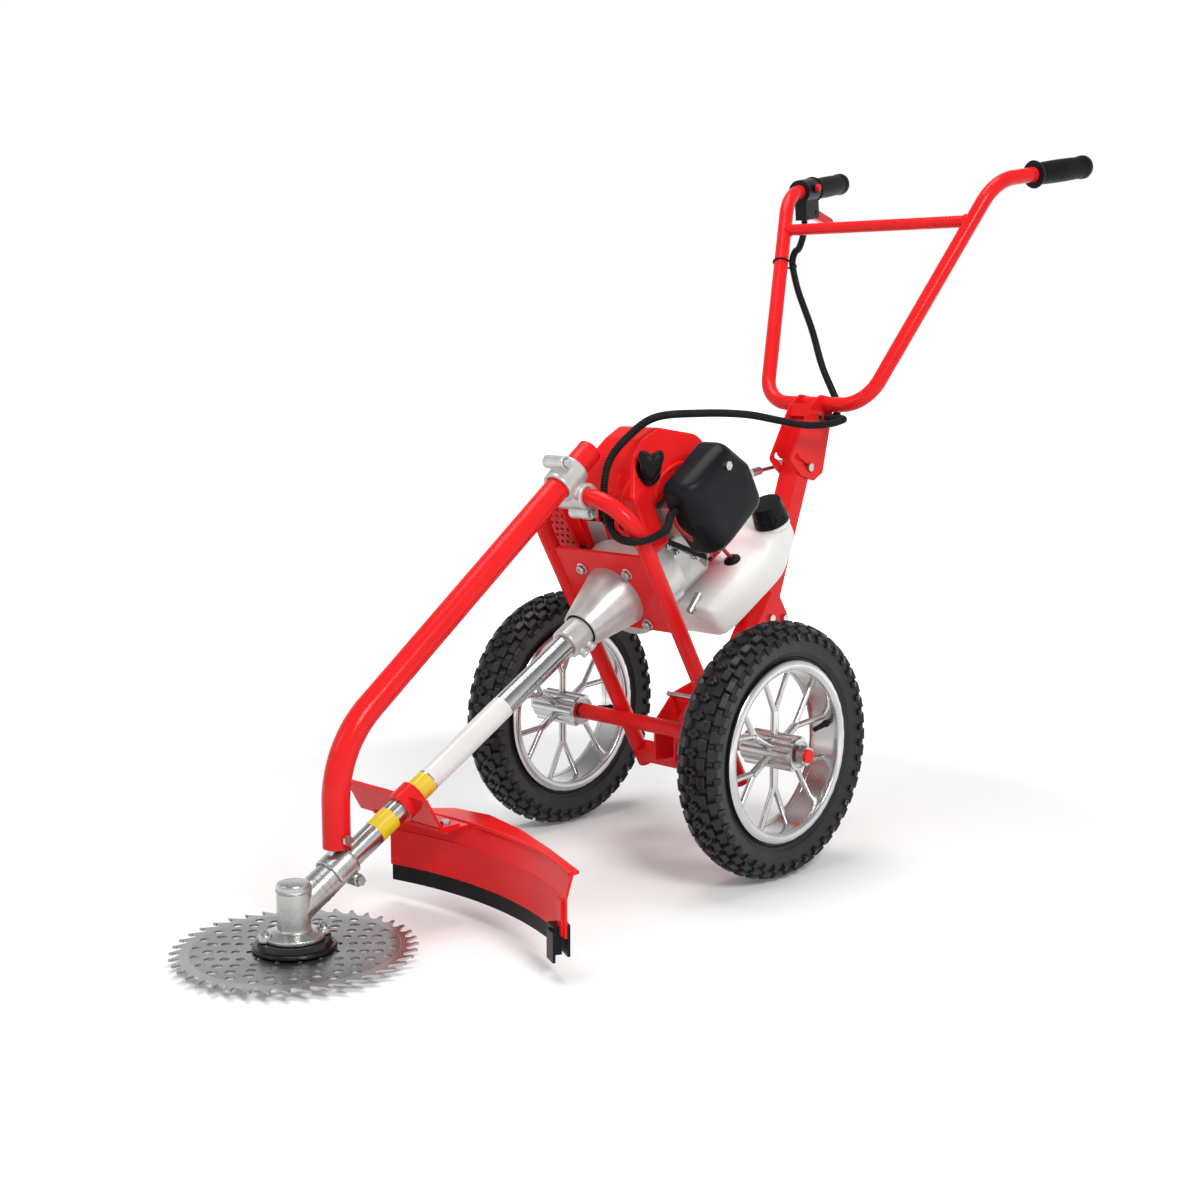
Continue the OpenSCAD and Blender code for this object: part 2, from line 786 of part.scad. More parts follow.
module saw_blade() {
  ring_r = [46, 60, 74, 88, 101];
  ring_n = [12, 16, 20, 24, 24];
  hole_r = [3.5, 4.5, 5, 5.5, 5];
  shrink = blade_d / 255;
  color(steel) translate([0, 0, bowl_top]) linear_extrude(blade_t) difference() {
    polygon(saw_outline());
    circle(r = arbor_d / 2 + seat);
    for (i = [0:len(ring_r) - 1], k = [0:ring_n[i] - 1])
      rotate((k + 0.5 * (i % 2)) * 360 / ring_n[i]) translate([ring_r[i] * shrink, 0])
        circle(r = hole_r[i] * shrink, $fn = 20);
  }
}

module blade_flange() {
  color(steel) difference() {
    union() {
      translate([0, 0, bowl_top + 0.1]) cylinder(h = blade_t, r = arbor_d / 2);
      translate([0, 0, blade_top]) cylinder(h = blade_flange_t, r = arbor_d / 2 + 13);
      translate([0, 0, blade_top]) cylinder(h = blade_hub_top - blade_top, r = spindle_d / 2 + 5);
    }
    cylinder(h = head_z, r = spindle_d / 2 + seat);
  }
}

module output_spindle() {
  color(steel) {
    translate([0, 0, thread_floor]) cylinder(h = bowl_top - thread_floor + 0.2, d = thread_d);
    translate([0, 0, bowl_top + 0.1]) cylinder(h = head_z + gear_heel - bowl_top, d = spindle_d);
    translate([0, 0, head_z]) bevel_gear(gear_teeth, gear_half, gear_toe, gear_heel, 90 + 180 / gear_teeth);
    translate([0, 0, head_z + gear_heel - 0.1]) cylinder(h = 2.6, r = journal_r + 4);
    translate([0, 0, head_z + gear_heel]) cylinder(h = bearing_h + 3, r = journal_r);
  }
}

// Gear head and shaft

module gear_head() {
  flange_r = head_flange_d / 2;
  color(alloy) difference() {
    union() {
      translate([0, 0, head_floor]) cylinder(h = barrel_top - head_floor - 2, d = barrel_d);
      translate([0, 0, barrel_top - 2]) cylinder(h = 2, r1 = barrel_d / 2, r2 = barrel_d / 2 - 2);
      translate([0, 0, head_floor]) cylinder(h = head_flange_t - 2, r = flange_r);
      translate([0, 0, head_floor + head_flange_t - 2]) cylinder(h = 4, r1 = flange_r - 2, r2 = barrel_d / 2);
      in_shaft() along_y(0, neck_len, neck_d / 2);
      in_shaft() along_x(-lug_half, lug_half, neck_lug_r, neck_lug_s, neck_lug_w);
    }
    translate([0, 0, head_floor - 1]) cylinder(h = bearing_z + bearing_h - head_floor + 1.5, r = barrel_bore);
    in_shaft() {
      along_y(0, pinion_bearing_s, barrel_bore - 2);
      along_y(pinion_bearing_s, tube_seat_s, pinion_bearing_r);
      along_y(tube_seat_s, neck_len + 1, tube_d / 2 + seat);
      along_x(-lug_half - 1, lug_half + 1, bolt_d / 2 + seat, neck_lug_s, neck_lug_w);
    }
  }
}

module boss_ring() {
  r = boss_ring_d / 2;
  inner = head_flange_d / 2 - 3;
  low = blade_top + 1;
  color(black) rotate_extrude() polygon([
    [inner, head_floor], [r - 4, head_floor], [r - 3, low + 5], [r, low + 2], [r, low], [r - 3, low],
    [r - 7, head_floor - 4], [inner, head_floor - 3]
  ]);
}

module shaft_bearings() {
  color(steel) {
    translate([0, 0, bearing_z]) difference() {
      cylinder(h = bearing_h, r = barrel_bore - seat);
      cylinder(h = 3 * bearing_h, r = journal_r + run, center = true);
    }
    translate([0, 0, low_bearing_z]) difference() {
      cylinder(h = low_bearing_h, r = barrel_bore - seat);
      cylinder(h = 3 * low_bearing_h, r = spindle_d / 2 + run, center = true);
    }
    in_shaft() difference() {
      along_y(pinion_bearing_s, pinion_bearing_s + pinion_bearing_h, pinion_bearing_r - seat);
      along_y(0, frame_s, pinion_hub_r + run);
    }
    for (s = bush_at) in_shaft() difference() {
      along_y(s, s + bush_len, tube_d / 2 - tube_wall - seat);
      along_y(0, frame_s, drive_d / 2 + run);
    }
  }
}

module shaft_tube() {
  color(alloy) in_shaft() difference() {
    along_y(tube_seat_s + 0.2, tube_end, tube_d / 2);
    along_y(0, frame_s, tube_d / 2 - tube_wall);
  }
}

module drive_shaft() {
  color(steel) in_shaft() along_y(pinion_toe + 2, drum_front - 2, drive_d / 2);
}

module pinion_gear() {
  color(steel) in_shaft() difference() {
    union() {
      rotate([-90, 0, 0]) bevel_gear(pinion_teeth, pinion_half, pinion_toe, pinion_heel, -90);
      along_y(pinion_heel - 0.1, pinion_bearing_s + pinion_bearing_h, pinion_hub_r);
    }
    along_y(pinion_toe + 1.9, frame_s, drive_d / 2 + seat);
  }
}

module clutch_drum() {
  color(steel) in_shaft() difference() {
    union() {
      along_y(drum_boss_front, drum_front + drum_wall, drum_boss_r);
      along_y(drum_front, drum_front + drum_len, drum_r);
    }
    along_y(drum_front + drum_wall, frame_s + fan_len, drum_r - drum_wall);
    along_y(0, drum_front - 1.9, drive_d / 2 + seat);
  }
}

module tube_collar() {
  ear = collar_d / 2 + 3;
  color(alloy) in_shaft() difference() {
    union() {
      along_y(collar_front, cone_front - 0.1, collar_d / 2);
      for (s = [collar_front + 8, cone_front - 9]) rotate([0, 40, 0]) along_x(ear - 7, ear + 5, 5.5, s, 0);
    }
    along_y(0, frame_s, tube_d / 2 + seat);
  }
}

module damper_sleeve() {
  color(black) in_shaft() difference() {
    along_y(cone_front, cone_front + 10, cone_small_d / 2 - 2.5);
    along_y(0, frame_s, tube_d / 2 + seat);
  }
}

module clutch_cone() {
  small = cone_small_d / 2;
  big = cone_big_d / 2;
  wall = 2.5;
  color(alloy) in_shaft() difference() {
    union() {
      cone_y(cone_front, frame_s - plate_t, small, big);
      along_y(frame_s - plate_t - 0.1, frame_s, big);
      along_y(frame_s, frame_s + cone_flange_t, fan_d / 2);
    }
    along_y(cone_front - 1, cone_front + 10.1, small - wall + seat);
    along_y(cone_front, drum_boss_front + 12, drum_boss_r + run);
    cone_y(drum_boss_front + 10, drum_front - 3, small - 6, big - 2 * wall);
    along_y(drum_front - 3.1, frame_s + fan_len, drum_r + 1.2);
    bolt_spots() along_y(0, frame_s + fan_len, bolt_d / 2 + seat);
  }
}

module bolt_spots() {
  for (x = [-1, 1], w = [-1, 1]) translate([x * bolt_half, 0, w * bolt_half]) children();
}

// Tube frame

module arch_frame() {
  color(red) difference() {
    in_shaft() {
      bent_tube(arch_points, arch_d / 2, arch_wall, arch_bend);
      cross_bar();
    }
    along_x(-axle_half, axle_half, axle_tube_d / 2 + seat, axle_y, axle_z);
  }
}

module cross_bar() {
  half = cross_tube / 2;
  difference() {
    box([-leg_x, frame_s - half, cross_w - half], [leg_x, frame_s + half, cross_w + half]);
    bent_rod(arch_points, arch_d / 2 - arch_wall / 2, arch_bend);
  }
}

module mount_plate() {
  color(red) in_shaft() difference() {
    box([-leg_x + 3, frame_s - plate_t, -plate_down], [leg_x - 3, frame_s, plate_up]);
    bent_rod(arch_points, arch_d / 2 + seat, arch_bend);
    along_y(0, 2 * frame_s, cone_big_d / 2 + seat);
    bolt_spots() along_y(0, 2 * frame_s, bolt_d / 2 + seat);
  }
}

module axle_tube() {
  color(red) difference() {
    along_x(-axle_tube_half, axle_tube_half, axle_tube_d / 2, axle_y, axle_z);
    along_x(-axle_half, axle_half, axle_d / 2 + seat, axle_y, axle_z);
  }
}

module axle_shaft() {
  color(red) along_x(-axle_half, axle_half, axle_d / 2, axle_y, axle_z);
}

module wheel_bearings() {
  color(steel) mirror_pair() for (x = [hub_in + bearing_set, hub_out - bearing_set - bearing_w])
    difference() {
      along_x(x, x + bearing_w, bearing_r, axle_y, axle_z);
      along_x(0, axle_half, axle_d / 2 + seat, axle_y, axle_z);
    }
}

// Bolts, nuts and screws of the frame, each a separate solid
module frame_bolts() {
  color(steel) {
    mirror_pair() translate([hub_out + 2, axle_y, axle_z]) rotate([0, 90, 0]) difference() {
      cylinder(h = nut_h, r = nut_r, $fn = 6);
      cylinder(h = 3 * nut_h, r = axle_d / 2 + seat, center = true);
    }
    in_shaft() translate([0, frame_s - plate_t, 0]) bolt_spots() rotate([-90, 0, 0])
      bolt(bolt_d, plate_t + 14);
    in_shaft() translate([lug_half, neck_lug_s, neck_lug_w]) rotate([0, -90, 0]) bolt(bolt_d, 2 * lug_half);
    translate([boom_d / 2 + 2, boom_y, saddle_bolt_z]) rotate([0, -90, 0]) bolt(bolt_d, boom_d + 4);
    translate([clamp_half, 0, 0] + clamp_at + boom_up * clamp_ear_off()) rotate([0, -90, 0])
      bolt(bolt_d, 2 * clamp_half);
    in_shaft() translate([clamp_half, frame_s, arch_top - arch_ear_off()]) rotate([0, -90, 0])
      bolt(bolt_d, 2 * clamp_half);
    translate([-cheek_out, 0, 0] + pivot) rotate([0, 90, 0]) bolt(pivot_bolt_d, 2 * cheek_out + 2);
    translate([cheek_out + gap, 0, 0] + lock_at) rotate([0, -90, 0])
      bolt(lock_bolt_d, 2 * (cheek_out + gap) + lock_hub_len - lock_hub_end);
    for (p = bracket_bolts()) translate([cheek_out, p.x, p.y]) rotate([0, -90, 0])
      bolt(bolt_d, 2 * cheek_out + 5);
    in_engine() translate([carb_x1 + filter_depth, filter_screw.x, filter_screw.y]) rotate([0, -90, 0])
      bolt(bolt_d, filter_depth + 6);
    for (x = [-screw_x, screw_x]) translate([x, bracket_foot_y + 14, guard_top + sheet_t]) mirror([0, 0, 1])
      bolt(bolt_d, sheet_t + guard_t + 4);
  }
}

function clamp_ear_off() = boom_d / 2 + clamp_wall + 5;
function arch_ear_off() = arch_d / 2 + clamp_wall + 9;
function bracket_bolts() = [
  [foot.y + 36, foot.z + 18], [foot.y + 8, foot.z + 21], [axle_y + 36, axle_z + 34]
];

// Wheels, made about the X axis and set at their hubs

module rim() {
  r = rim_d / 2;
  half = rim_w / 2;
  bed = r - 9;
  skin = 3;
  lobe_r = 5;
  color(alloy) rotate([0, 90, 0]) difference() {
    union() {
      rotate_extrude() polygon([
        [bed - skin, -half - 2], [r, -half - 2], [r, -half + 1], [bed, -half + 4], [bed, half - 4],
        [r, half - 1], [r, half + 2], [bed - skin, half + 2]
      ]);
      translate([0, 0, -hub_len / 2]) cylinder(h = hub_len, r = bearing_r + 2.5);
      for (k = [0:spokes - 1]) rotate((k + 0.5) * 360 / spokes)
        translate([hub_d / 2 - lobe_r, 0, 3 - hub_len / 2]) cylinder(h = hub_len - 6, r = lobe_r);
      for (k = [0:spokes - 1]) rotate(k * 360 / spokes) spoke(bed - 1);
    }
    cylinder(h = 2 * hub_len, r = bearing_r - 4, center = true);
    for (z = [-hub_len, hub_len / 2 - bearing_set - bearing_w - gap]) translate([0, 0, z])
      cylinder(h = hub_len / 2 + bearing_set + bearing_w + gap, r = bearing_r + run);
  }
}

// One forked spoke: a short trunk on the hub and two legs to the rim
module spoke(reach) {
  trunk_r = 5;
  leg_r = 3.6;
  fork = hub_d / 2 + 0.33 * (reach - hub_d / 2);
  rod([bearing_r, 0, 0], [fork, 0, 0], trunk_r);
  for (side = [-1, 1]) rod([fork - 4, 0, 0], concat(polar(reach, side * 90 / spokes), [0]), leg_r);
}

module tyre() {
  r = wheel_r;
  half = tyre_w / 2;
  bed = rim_d / 2 - 9;
  bead = rim_w / 2 - 4;
  wall = 5;
  color(black) rotate([0, 90, 0]) difference() {
    rotate_extrude() polygon(tyre_outline(r, half, bed + seat, bead - gap));
    rotate_extrude() polygon(tyre_outline(r - 9, half - wall, bed - 2, bead - wall));
  }
}

function tyre_outline(r, half, bed, bead) = concat(
  [[bed, -bead], [bed + 12, -bead - 1], [bed + 20, 5 - half]],
  [for (a = [-75:15:75]) [(r + bed) / 2 + 4 + ((r - bed) / 2 - 4) * cos(a), half * sin(a) / sin(75)]],
  [[bed + 20, half - 5], [bed + 12, bead + 1], [bed, bead]]
);

module wheel_at(side) {
  translate([side * half_track, axle_y, axle_z]) children();
}

module left_rim() { wheel_at(1) rim(); }
module left_tyre() { wheel_at(1) tyre(); }
module right_rim() { wheel_at(-1) rim(); }
module right_tyre() { wheel_at(-1) tyre(); }

// Boom

module boom_tube() {
  color(red) difference() {
    bent_tube(boom_points, boom_d / 2, boom_wall, boom_bend);
    in_shaft() along_y(0, neck_len + 20, saddle_r + 0.1);
    along_x(-boom_d, boom_d, bolt_d / 2 + seat, boom_y, saddle_bolt_z);
  }
}

module boom_clamp() {
  color(alloy) difference() {
    union() {
      rod(clamp_at - boom_dir * clamp_half, clamp_at + boom_dir * clamp_half, boom_d / 2 + clamp_wall);
      in_shaft() translate([0, frame_s, arch_top - 1])
        along_x(-arch_clamp_half, arch_clamp_half, arch_d / 2 + clamp_wall + 1);
      translate(clamp_at + boom_up * clamp_ear_off()) along_x(-clamp_half + 1, clamp_half - 1, clamp_ear_r);
      in_shaft() along_x(-clamp_half + 1, clamp_half - 1, clamp_ear_r, frame_s, arch_top - arch_ear_off());
    }
    bent_rod(stretched(boom_points, 1), boom_d / 2 + seat, boom_bend);
    in_shaft() bent_rod(arch_points, arch_d / 2 + seat, arch_bend);
    translate(clamp_at + boom_up * clamp_ear_off()) along_x(-clamp_half, clamp_half, bolt_d / 2 + seat);
    in_shaft() along_x(-clamp_half, clamp_half, bolt_d / 2 + seat, frame_s, arch_top - arch_ear_off());
  }
}

module boom_saddle() {
  tongue_half = boom_d / 2 - boom_wall - 3;
  color(alloy) difference() {
    union() {
      in_shaft() intersection() {
        along_y(saddle_from, saddle_to, saddle_r);
        box([-saddle_r, saddle_from, saddle_low], [saddle_r, saddle_to, saddle_r]);
      }
      box(
        [-saddle_tongue / 2, boom_y - tongue_half, head_z + boom_y * tan(shaft_tilt)],
        [saddle_tongue / 2, boom_y + tongue_half, saddle_bolt_z + 10]
      );
    }
    in_shaft() along_y(0, frame_s, neck_d / 2 + seat);
    along_x(-boom_d, boom_d, bolt_d / 2 + seat, boom_y, saddle_bolt_z);
  }
}

// Column and its bracket

module column() {
  half = [column_w / 2, column_d / 2];
  inner = half - [column_wall, column_wall];
  top = column_len + column_over;
  color(red) difference() {
    in_column() difference() {
      box([-half.x, -half.y, 0], [half.x, half.y, top]);
      box([-inner.x, -inner.y, -1], [inner.x, inner.y, top + 1]);
    }
    along_x(-column_w, column_w, pivot_bolt_d / 2 + seat, pivot.y, pivot.z);
    along_x(-column_w, column_w, lock_bolt_d / 2 + seat, lock_at.y, lock_at.z);
    for (p = bracket_bolts()) along_x(-column_w, column_w, bolt_d / 2 + seat, p.x, p.y);
  }
}

// Two cheeks that carry the column's foot behind the axle, joined by a web
module column_bracket() {
  a = [axle_y, axle_z];
  f = [foot.y, foot.z];
  outline = concat(
    [
      a + [4, -46], a + [4, 4], a + [38, 36], a + [72, 44], a + [132, 62], f + [10, 56], f + [26, 50]
    ],
    round_corner(f + [26, 50], f + [47, 18], f + [30, 2], 9),
    [f + [-40, -50], a + [72, -50]]
  );
  color(red) difference() {
    union() {
      for (x = [-column_w / 2 - seat - sheet_t, column_w / 2 + seat]) side_slab(x, x + sheet_t, outline);
      side_slab(
        -column_w / 2 - 1, column_w / 2 + 1, [a + [72, 44], a + [132, 62], a + [133, 59], a + [73, 41]]
      );
    }
    along_x(-axle_half, axle_half, axle_tube_d / 2 + seat, axle_y, axle_z);
    in_shaft() box(
      [-leg_x, frame_s - cross_tube / 2 - seat, cross_w - cross_tube / 2 - seat],
      [leg_x, frame_s + cross_tube / 2 + seat, cross_w + cross_tube / 2 + seat]
    );
    for (p = bracket_bolts()) along_x(-column_w, column_w, bolt_d / 2 + seat, p.x, p.y);
  }
}

// Handle, which tilts on the pivot bolt

module handle_bracket() {
  cheek = rounded([
    [-18, 16], [4, 30], [28, 26], [30, 8], [10, -74], [-10, -84], [-38, -74], [-60, -54], [-52, -40]
  ], 6);
  outline = [for (p = cheek) [pivot.y, pivot.z] + p * lock_r / 68];
  web = [[-20, 2], [-17, 2], [-12, 17], [-15, 19]];
  color(red) difference() {
    union() {
      mirror_pair() side_slab(cheek_in, cheek_out, outline);
      side_slab(-cheek_in - 1, cheek_in + 1, [for (p = web) [pivot.y, pivot.z] + p]);
    }
    rod(bar_points[2], bar_points[3], bar_d / 2 + seat);
    along_x(-cheek_out - 1, cheek_out + 1, pivot_bolt_d / 2 + run, pivot.y, pivot.z);
    for (k = [0:2]) lock_spot(k * lock_step) along_x(-cheek_out - 1, cheek_out + 1, lock_hole_d / 2);
    lock_slot();
  }
}

// A place on the arc of lock holes, at an angle forward of the lock bolt
module lock_spot(a) {
  translate(pivot + lock_r * [0, -sin(lock_a + a), -cos(lock_a + a)]) children();
}

// Narrow arc that joins the lock holes, so that the loosened bolt can slide along it
module lock_slot() {
  half = lock_bolt_d / 2 + gap;
  translate(pivot) rotate([90, 0, 90]) translate([0, 0, -cheek_out - 1]) rotate(270 - lock_a - 2 * lock_step)
    rotate_extrude(angle = 2 * lock_step) translate([lock_r - half, 0]) square([2 * half, 2 * cheek_out + 2]);
}

module handlebar() {
  color(red) {
    bent_tube(bar_points, bar_d / 2, bar_wall, bar_bends);
    difference() {
      rod(crossbar_left, crossbar_right, crossbar_d / 2);
      bent_rod(bar_points, (bar_d - bar_wall) / 2, bar_bends);
    }
  }
}

module grip(end, from, length) {
  d = unit(end - from);
  color(black) difference() {
    rod(end - d * length, end + d * grip_cap, grip_d / 2);
    rod(end - d * 2 * length, end + d * seat, bar_d / 2 + seat);
  }
}

module left_grip() { grip(bar_points[5], bar_points[4], grip_l); }
module right_grip() { grip(bar_points[0], bar_points[1], grip_r); }

module throttle_housing() {
  block_half = 9;
  color(black) in_right_grip() difference() {
    union() {
      along_y(throttle_y, throttle_y + throttle_len, throttle_r);
      box([-block_half, throttle_y + 2, lever_pivot.z - 8], [block_half, lever_pivot.y + 8, -bar_d / 2]);
      translate(button_at) rotate([0, 90, 0]) cylinder(h = button_len - button_travel - 2, r = button_r + 3);
    }
    along_y(-2 * throttle_len - grip_r, 1, bar_d / 2 + seat);
    box(
      [-lever_half - gap, lever_pivot.y - lever_eye_r - 2, lever_pivot.z - 20],
      [lever_half + gap, lever_pivot.y + 20, lever_pivot.z + lever_eye_r + 2]
    );
    along_y(-grip_r - 1, 1, grip_d / 2 + gap);
    translate(button_at) rotate([0, 90, 0]) cylinder(h = 2 * button_len, r = button_r + run);
  }
  color(black) in_right_grip()
    along_x(-block_half - 1, block_half + 1, lever_pin_r, lever_pivot.y, lever_pivot.z);
}

module throttle_lever() {
  tip = [lever_len * cos(lever_drop), -lever_len * sin(lever_drop)];
  outline = rounded([
    [-lever_eye_r + 1, 5], [4, lever_eye_r], tip + [0, 5], tip + [4, -1], tip + [-2, -6],
    [4, -lever_eye_r - 2], [-lever_eye_r + 1, -5]
  ], 2);
  color(red) in_right_grip() translate(lever_pivot) difference() {
    side_slab(-lever_half, lever_half, outline);
    along_x(-lever_half - 1, lever_half + 1, lever_pin_r + run);
  }
}

module stop_button() {
  color(red) in_right_grip() translate(button_at) rotate([0, 90, 0])
    translate([0, 0, button_travel]) cylinder(h = button_len - button_travel, r = button_r);
}

// Clamp lever that turns on the end of the lock bolt, on the right side
module lock_lever() {
  arm = 50;
  hub_x = -cheek_out - gap;
  color(steel) translate(lock_at) difference() {
    union() {
      along_x(hub_x - lock_hub_len, hub_x, 8);
      rod([hub_x - 10, 0, 0], [hub_x - 14, -arm, -6], 3);
      rod([hub_x - 13, -arm + 8, -5], [hub_x - 15, -arm - 8, -8], 6);
    }
    along_x(hub_x - lock_hub_len + lock_hub_end - gap, hub_x + 1, lock_bolt_d / 2 + run);
  }
}

module conduit_upper() {
  color(black) ribbed_hose(route_upper, ribs_upper, "conduit_upper");
}

module conduit_lower() {
  color(black) ribbed_hose(route_lower, ribs_lower, "conduit_lower");
}

// Guard behind the blade

module guard_sweep(outline) {
  translate(guard_centre) rotate(guard_a0) rotate_extrude(angle = guard_a1 - guard_a0, $fn = 96)
    polygon(outline);
}

module guard_shield() {
  r = guard_r;
  lip = 8;
  back = guard_r + roof_depth;
  color(red) difference() {
    union() {
      intersection() {
        guard_sweep([
          [r, guard_low], [r + guard_t, guard_low], [r + guard_t, crease_z],
          [r + crease_back + guard_t, guard_top - guard_t], [back - guard_t, guard_top - guard_t],
          [back - guard_t, guard_top - lip], [back, guard_top - lip], [back, guard_top],
          [r + crease_back - 1, guard_top], [r, crease_z]
        ]);
        linear_extrude(2 * guard_top) guard_plan();
      }
      box([-tab_right, bracket_foot_y, guard_top - guard_t], [bracket_half_l, guard_y + 2, guard_top]);
    }
    for (x = [-screw_x, screw_x]) translate([x, bracket_foot_y + 14, guard_low])
      cylinder(h = guard_top, r = bolt_d / 2 + seat);
  }
}

// Plan of the guard: the roof narrows towards both ends
module guard_plan() {
  polygon([
    [-guard_right - 1, guard_y - 60], [guard_left + 1, guard_y - 130], [guard_left + 1, guard_y - 36],
    [guard_left - 75, guard_y - 2], [guard_left - 148, guard_y + 27], [guard_x, guard_y + roof_depth],
    [guard_x - 50, guard_y + roof_depth - 7], [guard_x - 70, guard_y + 17], [-guard_right - 1, guard_y]
  ]);
}

module guard_flap() {
  r = guard_r + guard_t + seat;
  color(black) guard_sweep([
    [r, flap_low], [r + guard_t, flap_low], [r + guard_t, guard_low + 14], [r, guard_low + 14]
  ]);
}

// Line knife and its holder at the guard's left end
module guard_knife() {
  a = guard_a0 + 2.4;
  at = guard_r;
  color(black) translate(guard_centre) rotate(a) {
    box([at - 9, -10, flap_low], [at - gap, 10, guard_low + 10]);
    box([at - 12, -16, flap_low - 6], [at - 9, 4, guard_low + 6]);
  }
}

module guard_bracket() {
  half = bracket_len / 2;
  color(red) difference() {
    union() {
      in_shaft() along_y(bracket_s - half, bracket_s + half, tube_d / 2 + 4);
      in_shaft() box(
        [-bracket_half_r, bracket_s - sheet_t, -bracket_down], [bracket_half_l, bracket_s, bracket_up]
      );
      box(
        [-tab_right, bracket_foot_y - 5, guard_top],
        [bracket_half_l - 2, bracket_foot_y + 26, guard_top + sheet_t]
      );
    }
    in_shaft() along_y(0, frame_s, tube_d / 2 + seat);
    for (x = [-screw_x, screw_x]) translate([x, bracket_foot_y + 14, guard_low])
      cylinder(h = 2 * guard_top, r = bolt_d / 2 + seat);
  }
}

// Engine

module fan_housing() {
  r = fan_d / 2;
  boss_len = 12;
  color(alloy) in_engine() difference() {
    union() {
      along_y(fan_front, fan_back, r);
      for (a = [25, 75, 155]) rotate([0, a, 0]) translate([r - 2, 0, 0])
        along_y(fan_front + 8, fan_back - 4, 7);
    }
    along_y(fan_front - 1, fan_back, drum_r + 3);
    difference() {
      along_y(fan_front + 4, fan_back + 1, r - 5);
      bolt_spots() along_y(0, fan_front + boss_len, bolt_d);
    }
    bolt_spots() along_y(0, fan_front + boss_len + 1, bolt_d / 2 + seat);
  }
}

module flywheel() {
  disc_from = fan_front + 16;
  disc_to = disc_from + 8;
  r = fan_d / 2 - 10;
  fins = 12;
  shoe_from = drum_front + drum_wall + 1.5 - frame_s;
  shoe_to = drum_front + drum_len + 1 - frame_s;
  color(steel) in_engine() difference() {
    union() {
      along_y(disc_from, disc_to, r);
      along_y(disc_from, fan_back - 2, crank_r + 5);
      for (k = [0:fins - 1]) rotate([0, 360 * k / fins, 0])
        box([20, disc_to - 1, -1.25], [r - 1, fan_back - 6, 1.25]);
      difference() {
        along_y(shoe_from, shoe_to, shoe_r);
        along_y(shoe_from - 1, shoe_to + 1, 13);
        box([-shoe_r, shoe_from - 1, -2], [shoe_r, shoe_to + 1, 2]);
      }
      for (w = [-22, 22]) translate([0, 0, w]) along_y(shoe_to - 1, disc_from + 1, 4);
    }
    along_y(disc_from - 1, fan_back, crank_r + seat);
  }
}

module crankcase() {
  mid = [cyl_y - crank_wall(), cyl_y + crank_wall()];
  color(alloy) in_engine() difference() {
    union() {
      along_y(fan_back, fan_back + 5, fan_d / 2);
      front_slab(fan_back, case_back, rounded([
        [-case_half, case_low], [case_half, case_low], [case_half, deck_w], [-case_half, deck_w]
      ], 10));
      along_y(case_back - 5, case_back, starter_d / 2);
    }
    along_y(mid.x, mid.y, crank_cavity_r);
    along_y(0, 2 * case_back, crank_r + seat);
    translate([0, cyl_y, 0]) cylinder(h = deck_w + 1, r = cyl_bore / 2 + 4);
  }
}

function crank_wall() = pin_gap / 2 + web_t + 3;

module crankshaft() {
  nose = fan_front + 10;
  tail = case_back + 8;
  pin_w = stroke / 2;
  color(steel) in_engine() {
    along_y(nose, cyl_y - pin_gap / 2, crank_r);
    along_y(cyl_y + pin_gap / 2, tail, crank_r);
    along_y(cyl_y - pin_gap / 2 - web_t, cyl_y - pin_gap / 2, web_r);
    along_y(cyl_y + pin_gap / 2, cyl_y + pin_gap / 2 + web_t, web_r);
    translate([0, 0, pin_w]) along_y(cyl_y - pin_gap / 2 - 1, cyl_y + pin_gap / 2 + 1, crank_pin_r);
  }
}

// Piston, gudgeon pin and connecting rod, at the top of the stroke
module piston_and_rod() {
  r = cyl_bore / 2 - run;
  rod_half = pin_gap / 2 - 2;
  big_w = stroke / 2;
  color(alloy) in_engine() translate([0, cyl_y, 0]) {
    difference() {
      translate([0, 0, gudgeon_w - piston_down]) cylinder(h = piston_down + piston_up, r = r);
      translate([0, 0, gudgeon_w - piston_down - 1]) cylinder(h = piston_down + piston_up - 4, r = r - 4);
      translate([0, 0, gudgeon_w]) along_y(-cyl_bore, cyl_bore, gudgeon_r + seat);
    }
    translate([0, 0, gudgeon_w]) along_y(1 - r, r - 1, gudgeon_r);
    difference() {
      union() {
        translate([0, 0, big_w]) along_y(-rod_half, rod_half, crank_pin_r + 5);
        translate([0, 0, gudgeon_w]) along_y(-rod_half, rod_half, gudgeon_r + 4);
        box([-4, -rod_half + 1, big_w], [4, rod_half - 1, gudgeon_w]);
      }
      translate([0, 0, big_w]) along_y(-cyl_bore, cyl_bore, crank_pin_r + seat);
      translate([0, 0, gudgeon_w]) along_y(-cyl_bore, cyl_bore, gudgeon_r + seat);
    }
  }
}

module cylinder_head_plug(r, from, to) {
  translate([0, 0, from]) cylinder(h = to - from, r = r);
}

module cylinder_barrel() {
  half = fin_w / 2;
  deep = case_len / 2 - 6;
  pitch = (head_up - deck_w - 4) / fin_count;
  translate([0, 0, deck_w]) cylinder(h = head_up - deck_w, r = barrel_r);
  box([-half + 8, -deep, deck_w], [half - 8, deep, deck_w + 5]);
  for (k = [0:fin_count - 1]) translate([0, 0, deck_w + 6 + k * pitch]) linear_extrude(2)
    polygon(rounded([[-half, -deep], [half, -deep], [half, deep], [-half, deep]], 10));
  along_x(-port_reach, port_reach, port_r, 0, port_w);
}

